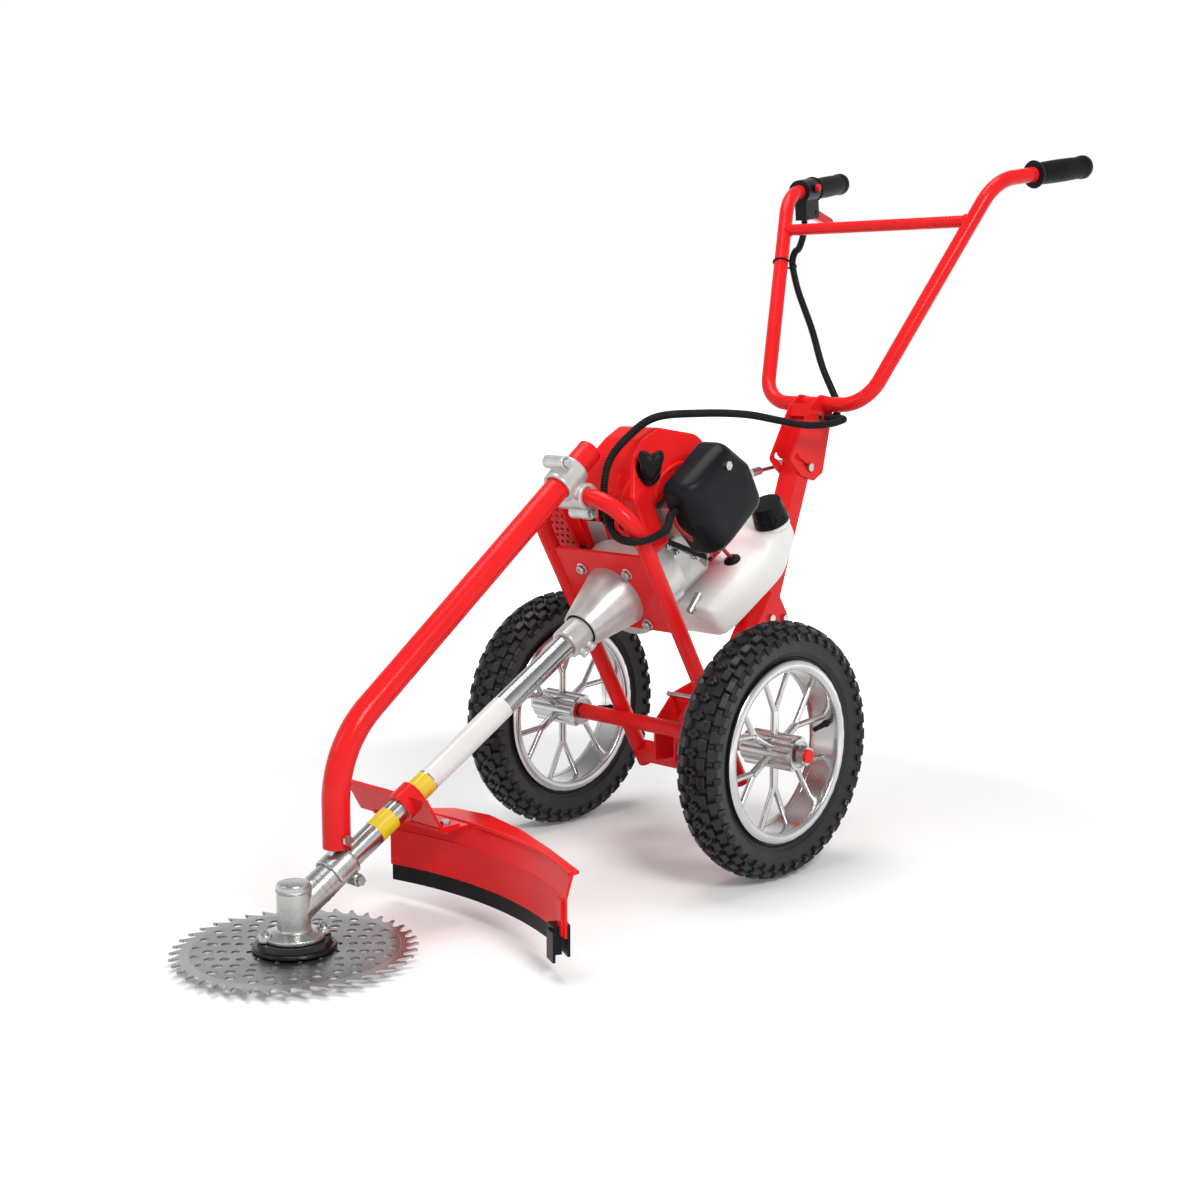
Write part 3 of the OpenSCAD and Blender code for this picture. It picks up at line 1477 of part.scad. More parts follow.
module engine_cylinder() {
  chamber = gudgeon_w + piston_up + 4;
  color(alloy) in_engine() translate([0, cyl_y, 0]) difference() {
    cylinder_barrel();
    cylinder_head_plug(cyl_bore / 2, deck_w - 1, chamber);
    cylinder_head_plug(journal_r + seat, chamber - 1, head_up + 1);
    along_x(barrel_r - 8, port_reach + 1, port_r - 4, 0, port_w);
    along_x(-port_reach - 1, -barrel_r + 8, port_r - 4, 0, port_w);
  }
}

// Spark plug and its rubber boot, which leans out through the shroud
module spark_plug() {
  boot_top = head_up + 30;
  color(black) in_engine() translate([0, cyl_y, 0]) {
    cylinder_head_plug(journal_r, head_up - 10, head_up + 1);
    cylinder_head_plug(9, head_up, boot_top - 4);
    rod([0, 0, boot_top - 12], [shroud_x1 + 6, -12, boot_top - 20], 9);
  }
}

function shroud_side(t) = rounded([
  [fan_back / 2 + t, deck_w - 6], [fan_back - 18 + t, shroud_top - 40 - t],
  [cyl_y - 13, shroud_top - 8 - t], [cyl_y + 15, shroud_top - t], [case_back + 12, shroud_top - 2 - t],
  [starter_back - 2 - t, shroud_top - 36 - t], [starter_back + 4 - t, shroud_top - 62 - t],
  [starter_back - t, deck_w - 6]
], 8);

function shroud_front(t) = rounded([
  [shroud_x0 + t, deck_w - 16], [shroud_x1 - t, deck_w - 16], [shroud_x1 - t, shroud_top - 44 - t],
  [shroud_x1 - 26 - t, shroud_top + 12 - t], [shroud_x0 + 32 + t, shroud_top + 12 - t],
  [shroud_x0 + t, shroud_top - 36 - t]
], 14);

module engine_shroud() {
  color(red) in_engine() difference() {
    intersection() {
      side_slab(shroud_x0 - 1, shroud_x1 + 1, shroud_side(0));
      front_slab(0, starter_back + 28, shroud_front(0));
    }
    intersection() {
      side_slab(shroud_x0 - 1, shroud_x1 + 1, shroud_side(shell_t));
      front_slab(0, starter_back + 28, shroud_front(shell_t));
    }
    along_y(0, starter_back + 28, fan_d / 2 + shroud_clear);
    box([shroud_x0 - 2, 0, 0], [shroud_x1 + 2, starter_back + 28, deck_w + 2]);
    translate([0, cyl_y, port_w]) along_x(shroud_x0 - 5, shroud_x1 + 5, port_r + 4);
    box([carb_x0 - 12, cyl_y - 22, deck_w], [carb_x0 + 10, cyl_y + 22, port_w + 24]);
    translate([0, cyl_y, 0]) rod([10, 0, head_up + 17], [shroud_x1 + 20, -16, head_up + 8], 13);
    for (k = [0:3]) louvre(k);
  }
}

// Slanted cooling slot in the shroud's front
module louvre(k) {
  translate([-22 + 15 * k, 20, 104 - 3 * k]) rotate([0, 14, 0]) box([-2.5, 0, -22], [2.5, 20, 22]);
}

function muffler_front(t) = rounded([
  [muffler_x[0] + t, muffler_w[0] + t], [muffler_x[1] - t, muffler_w[0] + t],
  [muffler_x[1] - t, muffler_w[1] - t], [muffler_x[0] + t, muffler_w[1] - t]
], 10);

module muffler() {
  pad_x = muffler_x[0] - muffler_gap;
  skin = 1.5;
  color(steel) in_engine() difference() {
    union() {
      front_slab(muffler_y[0], muffler_y[1], muffler_front(0));
      along_x(muffler_x[1] - 1, -port_reach - seat, port_r, cyl_y, port_w);
      for (y = [muffler_y[0] + 20, muffler_y[1] - 20]) along_x(pad_x, muffler_x[0] + 1, 6, y, port_w);
    }
    front_slab(muffler_y[0] + skin, muffler_y[1] - skin, muffler_front(skin));
    along_x(muffler_x[1] - 10, 0, port_r - 4, cyl_y, port_w);
  }
}

module muffler_guard() {
  low = [muffler_x[0] - muffler_gap, muffler_y[0] - muffler_gap, muffler_w[0] - muffler_gap];
  high = [muffler_x[1], muffler_y[1] + muffler_gap, muffler_w[1] + muffler_gap];
  t = [guard_sheet, guard_sheet, guard_sheet];
  rows = 9;
  pitch = (high.z - low.z - 12) / (rows - 1);
  color(red) in_engine() difference() {
    box(low - t, high + [0, guard_sheet, guard_sheet]);
    box(low, high + [1, 0, 0]);
    for (i = [0:rows - 1], j = [0:3])
      translate([low.x + 8 + 9 * j + 4.5 * (i % 2), low.y - guard_sheet - 1, low.z + 6 + pitch * i])
        along_y(0, guard_sheet + 2, 2.2);
    for (i = [0:2:rows - 1], j = [0:8])
      along_x(low.x - guard_sheet - 1, low.x + 1, 2.2, low.y + 10 + 9 * j, low.z + 6 + pitch * i);
  }
}

module carburettor() {
  mid = cyl_y;
  color(alloy) in_engine() {
    difference() {
      union() {
        box([port_reach + seat, mid - 15, port_w - 15], [carb_x0 + 1, mid + 15, port_w + 15]);
        box([carb_x0, mid - 19, port_w - 20], [carb_x1, mid + 19, port_w + 20]);
        translate([carb_x0 + 11, mid - 6, port_w + 19]) cylinder(h = 15, r = 8);
      }
      along_x(0, carb_x1 + 1, port_r - 4, mid, port_w);
    }
  }
}

function filter_outline(t) = rounded([
  filter_from + [14 + t, t], [filter_to.x - t, filter_from.y + 10 + t], [filter_to.x - t, filter_to.y - 46],
  filter_to - [24 + t, t], [filter_from.x + t, filter_to.y - 10 - t], [filter_from.x + t, filter_from.y + 52]
], 14 - t);

module air_filter_cover() {
  face = carb_x1 + filter_depth;
  color(black) in_engine() difference() {
    union() {
      side_slab(carb_x1 + seat, face - 6, filter_outline(0));
      side_slab(face - 6.1, face, filter_outline(4));
    }
    side_slab(carb_x1 + shell_t, face - shell_t - 3, filter_outline(shell_t + 2));
    along_x(0, face + 1, bolt_d / 2 + seat, filter_screw.x, filter_screw.y);
  }
}

function tank_side(t) = rounded([
  [62 + t, -56 - t], [70 + t, tank_low + t], [212 - t, tank_low + t], [tank_back - t, -82],
  [tank_back - t, tank_top - t], [194 + t, tank_top - t], [186 + t, -60 - t], [120, -60 - t]
], 6);

function tank_front(t) = rounded([
  [-tank_half + t, tank_low - 4 + t], [tank_half - t, tank_low - 4 + t],
  [tank_half - t, -20], [-tank_half + t, -20]
], 16 - t);

module tank_loaf(t) {
  intersection() {
    side_slab(-tank_half - 1, tank_half + 1, tank_side(t));
    front_slab(0, tank_back + 20, tank_front(t));
  }
}

module fuel_tank() {
  color(white) in_engine() difference() {
    union() {
      tank_loaf(0);
      translate([neck_at.x, neck_at.y, tank_top - 1]) cylinder(h = neck_h + 1, r = neck_r);
      for (x = [-30, 30]) box([x - 8, 74, -58], [x + 8, 100, case_low - seat]);
    }
    tank_loaf(shell_t);
    translate([neck_at.x, neck_at.y, tank_top - 10]) cylinder(h = neck_h + 20, r = neck_r - 3);
  }
}

module fuel_cap() {
  r = cap_d / 2;
  lobes = 10;
  color(black) in_engine() translate([neck_at.x, neck_at.y, tank_top + gap]) difference() {
    cylinder(h = cap_h, r1 = r, r2 = r - 3);
    translate([0, 0, -1]) cylinder(h = neck_h + 1 + gap, r = neck_r + run);
    for (k = [0:lobes - 1]) rotate(360 * k / lobes) translate([r + 3, 0, 8]) cylinder(h = cap_h, r = 5);
  }
}

module starter_cover() {
  r = starter_d / 2;
  t = shell_t;
  color(red) in_engine() {
    difference() {
      union() {
        along_y(case_back + seat, starter_back - 8, r);
        cone_y(starter_back - 8.1, starter_back, r, r - 10);
        along_x(-r - 2, -r + 12, 8, rope_y, rope_w);
      }
      along_y(case_back - 1, starter_back - 8 - t, r - t);
      along_x(-2 * r, 0, rope_r + gap, rope_y, rope_w);
    }
    along_y(reel_y + 1, starter_back - 8, reel_post_r);
  }
}

module starter_reel() {
  color(black) in_engine() difference() {
    union() {
      along_y(reel_y, reel_y + 4, reel_r);
      along_y(reel_y, reel_y + reel_w, rope_drum_r - rope_r - gap);
      along_y(reel_y + reel_w - 4, reel_y + reel_w, reel_r);
    }
    along_y(0, starter_back, reel_post_r + run);
  }
}

// Starter grip with the end of its rope
module starter_grip() {
  out = starter_d / 2 + 2 + starter_grip_gap;
  color(black) in_engine() {
    along_x(-out - 2, -reel_r / 2, rope_r, rope_y, rope_w);
    translate([-out - starter_grip_len / 2, rope_y, rope_w]) rotate([0, 90, 0])
      rotate_extrude() polygon([
        [0, -15], [7, -15], [10, -10], [8, 0], [10, 8], [9, 15], [0, 15]
      ]);
  }
}

glide_bowl();
saw_blade();
blade_flange();
output_spindle();
gear_head();
boss_ring();
shaft_bearings();
shaft_tube();
drive_shaft();
pinion_gear();
clutch_drum();
tube_collar();
damper_sleeve();
clutch_cone();
arch_frame();
mount_plate();
axle_tube();
axle_shaft();
wheel_bearings();
frame_bolts();
left_rim();
left_tyre();
right_rim();
right_tyre();
boom_tube();
boom_clamp();
boom_saddle();
column();
column_bracket();
handle_bracket();
handlebar();
left_grip();
right_grip();
throttle_housing();
throttle_lever();
stop_button();
lock_lever();
conduit_upper();
conduit_lower();
guard_shield();
guard_flap();
guard_knife();
guard_bracket();
fan_housing();
flywheel();
crankcase();
crankshaft();
piston_and_rod();
engine_cylinder();
spark_plug();
engine_shroud();
muffler();
muffler_guard();
carburettor();
air_filter_cover();
fuel_tank();
fuel_cap();
starter_cover();
starter_reel();
starter_grip();
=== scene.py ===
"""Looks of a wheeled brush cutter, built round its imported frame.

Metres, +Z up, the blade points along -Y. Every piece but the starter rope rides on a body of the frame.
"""

import json
import logging
import math
from dataclasses import dataclass, field
from enum import Enum
from typing import Any, Iterable, Sequence

import bmesh
import bpy
from bpy.types import ID, Material, Mesh, Node, NodeSocket, NodeTree, Object, Scene
from mathutils import Matrix, Vector

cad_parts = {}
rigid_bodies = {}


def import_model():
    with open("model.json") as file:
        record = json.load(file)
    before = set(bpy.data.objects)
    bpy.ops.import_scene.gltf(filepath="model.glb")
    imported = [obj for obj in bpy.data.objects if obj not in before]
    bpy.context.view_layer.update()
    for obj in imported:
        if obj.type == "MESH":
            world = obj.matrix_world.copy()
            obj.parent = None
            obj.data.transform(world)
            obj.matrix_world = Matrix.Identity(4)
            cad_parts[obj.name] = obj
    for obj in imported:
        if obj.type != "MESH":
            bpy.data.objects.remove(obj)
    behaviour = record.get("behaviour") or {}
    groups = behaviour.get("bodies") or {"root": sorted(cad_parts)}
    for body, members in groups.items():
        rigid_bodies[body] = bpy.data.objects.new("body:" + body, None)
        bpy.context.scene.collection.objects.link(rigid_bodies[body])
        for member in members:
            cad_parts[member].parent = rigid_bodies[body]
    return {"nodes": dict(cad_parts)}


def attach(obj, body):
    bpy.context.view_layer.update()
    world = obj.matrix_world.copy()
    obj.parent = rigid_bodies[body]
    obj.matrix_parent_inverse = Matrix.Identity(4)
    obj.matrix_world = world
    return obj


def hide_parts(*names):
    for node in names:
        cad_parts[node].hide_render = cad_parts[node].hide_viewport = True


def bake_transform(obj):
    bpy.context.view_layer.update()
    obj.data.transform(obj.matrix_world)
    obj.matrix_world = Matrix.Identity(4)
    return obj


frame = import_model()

LOG = logging.getLogger("brush_cutter")
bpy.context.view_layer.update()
MM = 0.001
CORNER_SHARE = 0.48
Colour = tuple[float, float, float]
Point = tuple[float, float, float]
Pair = tuple[float, float]


class Axis(Enum):
    """Directions that a turned piece or a grain may follow."""

    X = Vector((1.0, 0.0, 0.0))
    Y = Vector((0.0, 1.0, 0.0))
    Z = Vector((0.0, 0.0, 1.0))


class Body(Enum):
    """Bodies of the frame that carry pieces made here."""

    FRAME = "frame"
    CUTTER = "cutter"
    HANDLE = "handle"
    LEFT_WHEEL = "left_wheel"
    RIGHT_WHEEL = "right_wheel"
    STARTER_PULL = "starter_pull"


@dataclass(frozen=True)
class Layout:
    """Places taken over from the frame's own design, in millimetres and degrees."""

    shaft_tilt: float = 30.0
    head_height: float = 50.0
    frame_along: float = 560.0
    pivot: Point = (0.0, 856.113, 529.565)
    axle: Point = (0.0, 568.409, 153.5)
    half_track: float = 177.0
    right_bar_end: Point = (-204.0, 340.0, 335.0)
    right_shoulder: Point = (-171.0, 170.0, 309.0)
    right_corner: Point = (-82.0, 14.0, 17.0)

    def shaft(self) -> Matrix:
        """Frame of the sloping shaft: +Y along it, +Z square to it."""
        turn = Matrix.Rotation(math.radians(self.shaft_tilt), 4, "X")
        return Matrix.Translation((0, 0, self.head_height * MM)) @ turn

    def engine(self) -> Matrix:
        """Frame of the engine, with its origin where the shaft meets the arch."""
        return self.shaft() @ Matrix.Translation((0, self.frame_along * MM, 0))

    def engine_at(self, point: Point) -> Matrix:
        """Frame of the engine moved to a point of it, given in millimetres."""
        return self.engine() @ Matrix.Translation(Vector(point) * MM)

    def along_shaft(self) -> Matrix:
        """Frame of the shaft with +Z along it, for turned pieces."""
        return self.shaft() @ Matrix.Rotation(-math.pi / 2, 4, "X")

    def about_pivot(self, point: Point) -> Vector:
        """Point given about the handle's pivot in millimetres, as metres in the shared frame."""
        return (Vector(self.pivot) + Vector(point)) * MM

    def in_engine(self, point: Point) -> Vector:
        """Point given in the engine's frame in millimetres, as metres in the shared frame."""
        return self.engine() @ (Vector(point) * MM)

    def right_grip(self) -> Matrix:
        """Frame of the right grip: origin at the bar's end, +Y along the bar, +Z up."""
        end = self.about_pivot(self.right_bar_end)
        along = (end - self.about_pivot(self.right_shoulder)).normalized()
        side = along.cross(Axis.Z.value).normalized()
        turn = Matrix((side, along, side.cross(along))).transposed().to_4x4()
        return Matrix.Translation(end) @ turn

    def wheel(self, side: int) -> Matrix:
        """Frame of the left (side 1) or right (side -1) wheel, with +Z outwards along the axle."""
        at = Vector(self.axle) * MM + Vector((side * self.half_track * MM, 0, 0))
        return Matrix.Translation(at) @ Matrix.Rotation(side * math.pi / 2, 4, "Y")


LAYOUT = Layout()


class Nodes:
    """Node tree that is laid out by short calls."""

    def __init__(self, tree: NodeTree) -> None:
        """Takes over the tree of a material, a world or a Geometry Nodes group, and empties it."""
        self.tree = tree
        tree.nodes.clear()

    def put(self, slot: NodeSocket, value: Any) -> None:
        """Links a socket to a slot, or writes a plain value into it.

        Args:
            slot: Input that is filled.
            value: Socket or plain value.
        """
        if isinstance(value, NodeSocket):
            self.tree.links.new(value, slot)
        else:
            slot.default_value = value

    def add(self, kind: str, inputs: dict[str | int, Any] | None = None, **settings: Any) -> Node:
        """Adds a node.

        Args:
            kind: Node type.
            inputs: Sockets or plain values by the input's name or number.
            settings: Properties of the node.

        Returns:
            The node.
        """
        node = self.tree.nodes.new(kind)
        for key, value in settings.items():
            setattr(node, key, value)
        for name, value in (inputs or {}).items():
            self.put(node.inputs[name], value)
        return node

    def math(self, kind: str, first: Any, second: Any = 0.0) -> NodeSocket:
        """Math node on sockets or plain numbers, giving its value socket."""
        return self.add("ShaderNodeMath", {0: first, 1: second}, operation=kind).outputs[0]

    def ranged(self, value: NodeSocket, low: float, high: float, start: float = 0.3,
               end: float = 0.7) -> NodeSocket:
        """Map Range socket that takes a factor from start..end onto low..high."""
        limits = {"From Min": start, "From Max": end, "To Min": low, "To Max": high}
        return self.add("ShaderNodeMapRange", {"Value": value, **limits}).outputs["Result"]


class Shader(Nodes):
    """Principled material on object coordinates."""

    def __init__(self, name: str) -> None:
        """Starts a material with one Principled shader.

        Args:
            name: Name of the material.
        """
        self.material = bpy.data.materials.new(name)
        self.material.use_nodes = True
        super().__init__(self.material.node_tree)
        self.bsdf = self.add("ShaderNodeBsdfPrincipled")
        self.add("ShaderNodeOutputMaterial", {"Surface": self.bsdf.outputs[0]})
        self.coords = self.add("ShaderNodeTexCoord").outputs["Object"]

    def set(self, **values: Any) -> None:
        """Sets constant values on the Principled shader's own sockets."""
        for key, value in values.items():
            name = key.replace("_", " ")
            socket = next(s for s in self.bsdf.inputs if s.name.lower() == name.lower())
            socket.default_value = (*value, 1.0) if socket.type == "RGBA" else value

    def feed(self, name: str, socket: NodeSocket) -> None:
        """Links a socket to one of the Principled shader's inputs."""
        self.put(self.bsdf.inputs[name], socket)

    def placed(self, stretch: Point, shift: Point = (0, 0, 0)) -> NodeSocket:
        """Object coordinates that a Mapping node stretches along each axis and shifts in metres."""
        inputs = {"Vector": self.coords, "Location": shift, "Scale": [1.0 / s for s in stretch]}
        return self.add("ShaderNodeMapping", inputs, vector_type="TEXTURE").outputs[0]

    def noise(self, scale: float, detail: float = 3.0, vector: Any = None) -> NodeSocket:
        """Noise factor between 0 and 1, its scale in cells per metre, on a vector or the coordinates."""
        inputs = {"Vector": vector or self.coords, "Scale": scale, "Detail": detail}
        return self.add("ShaderNodeTexNoise", inputs).outputs["Fac"]

    def tint(self, factor: Any, first: Any, second: Any) -> NodeSocket:
        """Mix of two colours, each a plain colour or a socket.

        Args:
            factor: Factor socket.
            first: Colour at 0.
            second: Colour at 1.

        Returns:
            The colour socket.
        """
        node = self.add("ShaderNodeMix", data_type="RGBA")
        self.put(node.inputs[0], factor)
        for slot, value in ((node.inputs[6], first), (node.inputs[7], second)):
            self.put(slot, value if isinstance(value, NodeSocket) else (*value, 1.0))
        return node.outputs[2]

    def bump(self, height: Any, strength: float, depth: float) -> None:
        """Feeds a bump made from a height socket between 0 and 1, its depth in metres."""
        node = self.add("ShaderNodeBump", {"Height": height, "Strength": strength, "Distance": depth})
        self.feed("Normal", node.outputs[0])


@dataclass(frozen=True)
class Finish:
    """Surface with a soft tint variation, uneven gloss and a fine relief."""

    name: str
    slot: str
    colour: Colour
    shade: Colour
    metallic: float = 0.0
    gloss: Pair = (0.25, 0.4)
    mottle: float = 14.0
    grain: float = 700.0
    relief: float = 0.1
    depth: float = 0.1 * MM
    coat: float = 0.0
    coat_gloss: float = 0.06
    stretch: Point = (1.0, 1.0, 1.0)
    specular: float = 0.5

    def build(self) -> Material:
        """Makes the material."""
        shader = Shader(self.name)
        self.dress(shader)
        return shader.material

    def dress(self, shader: Shader) -> None:
        """Lays the nodes of this finish.

        Args:
            shader: Material being made.
        """
        shader.set(metallic=self.metallic, coat_weight=self.coat, coat_roughness=self.coat_gloss)
        shader.set(specular_ior_level=self.specular)
        shader.material.diffuse_color = (*self.colour, 1.0)
        broad = shader.noise(self.mottle, 4.0)
        shader.feed("Base Color", shader.tint(shader.ranged(broad, 0, 1), self.colour, self.shade))
        fine = shader.noise(self.grain, 2.0, shader.placed(self.stretch))
        halves = [shader.math("MULTIPLY", part, 0.5) for part in (fine, broad)]
        uneven = shader.math("ADD", *halves)
        shader.feed("Roughness", shader.ranged(uneven, *self.gloss))
        shader.bump(fine, self.relief, self.depth)


@dataclass(frozen=True)
class CastFinish(Finish):
    """Bead-blasted casting: pale metal with pores and darker stains."""

    stain: float = 60.0
    stain_range: Pair = (0.35, 0.72)
    pores: float = 1300.0
    pore_share: float = 0.6

    def dress(self, shader: Shader) -> None:
        """Adds stains and pores to the plain finish."""
        super().dress(shader)
        stain = shader.noise(self.stain, 6.0)
        base = shader.tint(shader.ranged(stain, 0, 1, *self.stain_range), self.colour, self.shade)
        shader.feed("Base Color", base)
        pores = shader.add("ShaderNodeTexVoronoi", {"Vector": shader.coords, "Scale": self.pores})
        dips = shader.math("MULTIPLY", pores.outputs["Distance"], self.pore_share)
        height = shader.math("ADD", dips, stain)
        shader.bump(height, self.relief, self.depth)


@dataclass(frozen=True)
class BladeFinish(Finish):
    """Steel disc ground in circles, with a paler ring below the teeth."""

    ring: Pair = (0.106, 0.109)
    ring_colour: Colour = (0.46, 0.46, 0.46)
    brushed: float = 0.6

    def dress(self, shader: Shader) -> None:
        """Lays circular grinding marks about the blade's axis."""
        shader.set(metallic=self.metallic, anisotropic=self.brushed)
        shader.material.diffuse_color = (*self.colour, 1.0)
        split = shader.add("ShaderNodeSeparateXYZ", {0: shader.coords})
        square = [shader.math("POWER", split.outputs[i], 2.0) for i in (0, 1)]
        radius = shader.math("SQRT", shader.math("ADD", *square))
        inputs = {"W": radius, "Scale": self.grain, "Detail": 4.0}
        marks = shader.add("ShaderNodeTexNoise", inputs, noise_dimensions="1D").outputs["Fac"]
        broad = shader.noise(self.mottle, 3.0)
        body = shader.tint(shader.ranged(broad, 0, 1), self.colour, self.shade)
        rim = shader.ranged(radius, 0, 1, *self.ring)
        shader.feed("Base Color", shader.tint(rim, body, self.ring_colour))
        shader.feed("Roughness", shader.ranged(marks, *self.gloss))
        shader.bump(marks, self.relief, self.depth)


@dataclass(frozen=True)
class TankFinish(Finish):
    """Milky blow-moulded plastic that lets light through."""

    milk: float = 0.35
    milk_reach: Point = (0.012, 0.011, 0.010)

    def dress(self, shader: Shader) -> None:
        """Adds scattering below the surface."""
        super().dress(shader)
        shader.set(subsurface_weight=self.milk, subsurface_radius=self.milk_reach, subsurface_scale=1.0)


@dataclass(frozen=True)
class TyreFinish(Finish):
    """Tyre rubber with a dusty bloom in random patches."""

    dust: Colour = (0.026, 0.024, 0.023)
    dust_scale: float = 45.0
    dust_range: Pair = (0.5, 0.8)

    def dress(self, shader: Shader) -> None:
        """Adds the dusty bloom."""
        super().dress(shader)
        bloom = shader.ranged(shader.noise(self.dust_scale, 6.0), 0, 1, *self.dust_range)
        body = shader.tint(shader.ranged(shader.noise(self.mottle), 0, 1), self.colour, self.shade)
        shader.feed("Base Color", shader.tint(bloom, body, self.dust))


RED_PAINT = Finish(
    "red_powder_coat", "red_paint", (0.84, 0.018, 0.020), (0.77, 0.014, 0.016),
    gloss=(0.17, 0.20), mottle=9.0, grain=90.0, relief=0.004, depth=0.01 * MM, specular=0.14,
)
RED_PLASTIC = Finish(
    "red_moulding", "red_plastic", (0.84, 0.014, 0.016), (0.76, 0.010, 0.012),
    gloss=(0.13, 0.18), mottle=12.0, grain=120.0, relief=0.004, depth=0.01 * MM, specular=0.12,
)
CAST_ALLOY = CastFinish(
    "blasted_casting", "cast_alloy", (0.62, 0.62, 0.60), (0.50, 0.49, 0.48),
    metallic=0.45, gloss=(0.26, 0.40), grain=900.0, relief=0.25, depth=0.12 * MM,
)
HEAD_ALLOY = CastFinish(
    "brushed_casting", "cast_alloy", (0.52, 0.52, 0.51), (0.40, 0.40, 0.39),
    metallic=0.85, gloss=(0.22, 0.34), grain=900.0, relief=0.08, depth=0.06 * MM,
)
BRIGHT_ALLOY = Finish(
    "polished_alloy", "bright_alloy", (0.60, 0.60, 0.59), (0.50, 0.50, 0.50),
    metallic=1.0, gloss=(0.14, 0.30), mottle=22.0, grain=160.0, relief=0.06, depth=0.05 * MM,
    stretch=(1.0, 8.0, 8.0),
)
SHAFT_ALLOY = Finish(
    "drawn_tube", "bright_alloy", (0.56, 0.56, 0.55), (0.46, 0.46, 0.46),
    metallic=1.0, gloss=(0.16, 0.26), mottle=18.0, grain=260.0, relief=0.05, depth=0.03 * MM,
    stretch=(6.0, 0.6, 6.0),
)
STEEL = Finish(
    "turned_steel", "steel", (0.52, 0.52, 0.53), (0.40, 0.40, 0.41),
    metallic=1.0, gloss=(0.22, 0.40), mottle=30.0, grain=600.0, relief=0.08, depth=0.05 * MM,
)
ZINC = Finish(
    "zinc_plate", "zinc", (0.55, 0.55, 0.54), (0.42, 0.43, 0.44),
    metallic=1.0, gloss=(0.2, 0.38), mottle=160.0, grain=900.0, relief=0.08, depth=0.04 * MM,
)
BLADE = BladeFinish(
    "ground_disc", "steel", (0.40, 0.40, 0.41), (0.30, 0.30, 0.31),
    metallic=1.0, gloss=(0.2, 0.42), mottle=16.0, grain=900.0, relief=0.12, depth=0.04 * MM,
)
CARBIDE = Finish(
    "brazed_tip", "steel", (0.34, 0.33, 0.31), (0.42, 0.39, 0.34),
    metallic=1.0, gloss=(0.25, 0.45), mottle=300.0, grain=1500.0,
)
BLACK_PLASTIC = Finish(
    "satin_moulding", "black_plastic", (0.0070, 0.0078, 0.0095), (0.0110, 0.0120, 0.0140),
    gloss=(0.26, 0.38), mottle=18.0, grain=1500.0, relief=0.08, depth=0.04 * MM, specular=0.1,
)
GLOSS_BLACK = Finish(
    "polished_moulding", "black_plastic", (0.0060, 0.0060, 0.0065), (0.0090, 0.0090, 0.0095),
    gloss=(0.10, 0.16), mottle=18.0, grain=300.0, relief=0.02, depth=0.02 * MM, specular=0.3,
)
BLACK_RUBBER = Finish(
    "soft_rubber", "black_rubber", (0.0080, 0.0080, 0.0088), (0.0140, 0.0140, 0.0150),
    gloss=(0.28, 0.42), mottle=26.0, grain=1100.0, relief=0.15, depth=0.06 * MM, specular=0.08,
)
TYRE = TyreFinish(
    "tyre_rubber", "tyre", (0.0085, 0.0085, 0.0092), (0.0150, 0.0150, 0.0158),
    gloss=(0.3, 0.5), mottle=30.0, grain=900.0, relief=0.15, depth=0.08 * MM, specular=0.3,
)
TANK = TankFinish(
    "milky_tank", "tank_plastic", (0.93, 0.92, 0.90), (0.90, 0.89, 0.87),
    gloss=(0.3, 0.42), mottle=8.0, grain=240.0, relief=0.06, depth=0.06 * MM,
)
WRAP_WHITE = Finish(
    "white_film", "bright_alloy", (0.82, 0.82, 0.81), (0.76, 0.76, 0.75),
    gloss=(0.22, 0.34), mottle=20.0, grain=500.0, relief=0.03, depth=0.02 * MM, coat=0.3,
)
WRAP_YELLOW = Finish(
    "yellow_film", "bright_alloy", (0.86, 0.66, 0.02), (0.80, 0.58, 0.01),
    gloss=(0.25, 0.36), mottle=30.0, grain=500.0, relief=0.03, depth=0.02 * MM, coat=0.3,
)
GREY_PLATE = Finish(
    "anodised_plate", "bright_alloy", (0.36, 0.34, 0.34), (0.31, 0.30, 0.30),
    metallic=0.6, gloss=(0.3, 0.42), mottle=60.0, grain=800.0, relief=0.04, depth=0.02 * MM,
)
RED_WIRE = Finish(
    "red_lead", "black_rubber", (0.55, 0.012, 0.012), (0.42, 0.01, 0.01),
    gloss=(0.3, 0.45), mottle=40.0, grain=900.0,
)

NODE_FINISHES: dict[Finish, tuple[str, ...]] = {
    RED_PAINT: (
        "arch_frame", "mount_plate", "axle_tube", "axle_shaft", "boom_tube", "column", "column_bracket",
        "handle_bracket", "handlebar", "guard_bracket", "muffler_guard",
    ),
    RED_PLASTIC: ("guard_shield", "starter_cover", "stop_button", "engine_shroud", "throttle_lever"),
    CAST_ALLOY: (
        "gear_head", "boom_clamp", "boom_saddle", "clutch_cone", "tube_collar", "crankcase", "fan_housing",
        "engine_cylinder", "carburettor", "piston_and_rod",
    ),
    BRIGHT_ALLOY: ("left_rim", "right_rim"),
    SHAFT_ALLOY: ("shaft_tube",),
    STEEL: (
        "glide_bowl", "blade_flange", "output_spindle", "drive_shaft", "pinion_gear", "clutch_drum",
        "crankshaft", "flywheel", "shaft_bearings", "wheel_bearings", "muffler",
    ),
    BLADE: ("saw_blade",),
    ZINC: ("frame_bolts", "lock_lever"),
    BLACK_PLASTIC: (
        "throttle_housing", "air_filter_cover", "fuel_cap", "starter_reel", "starter_grip", "guard_knife",
    ),
    GLOSS_BLACK: ("boss_ring",),
    BLACK_RUBBER: (
        "guard_flap", "left_grip", "right_grip", "damper_sleeve", "spark_plug", "conduit_upper",
        "conduit_lower",
    ),
    TYRE: ("left_tyre", "right_tyre"),
    TANK: ("fuel_tank",),
}


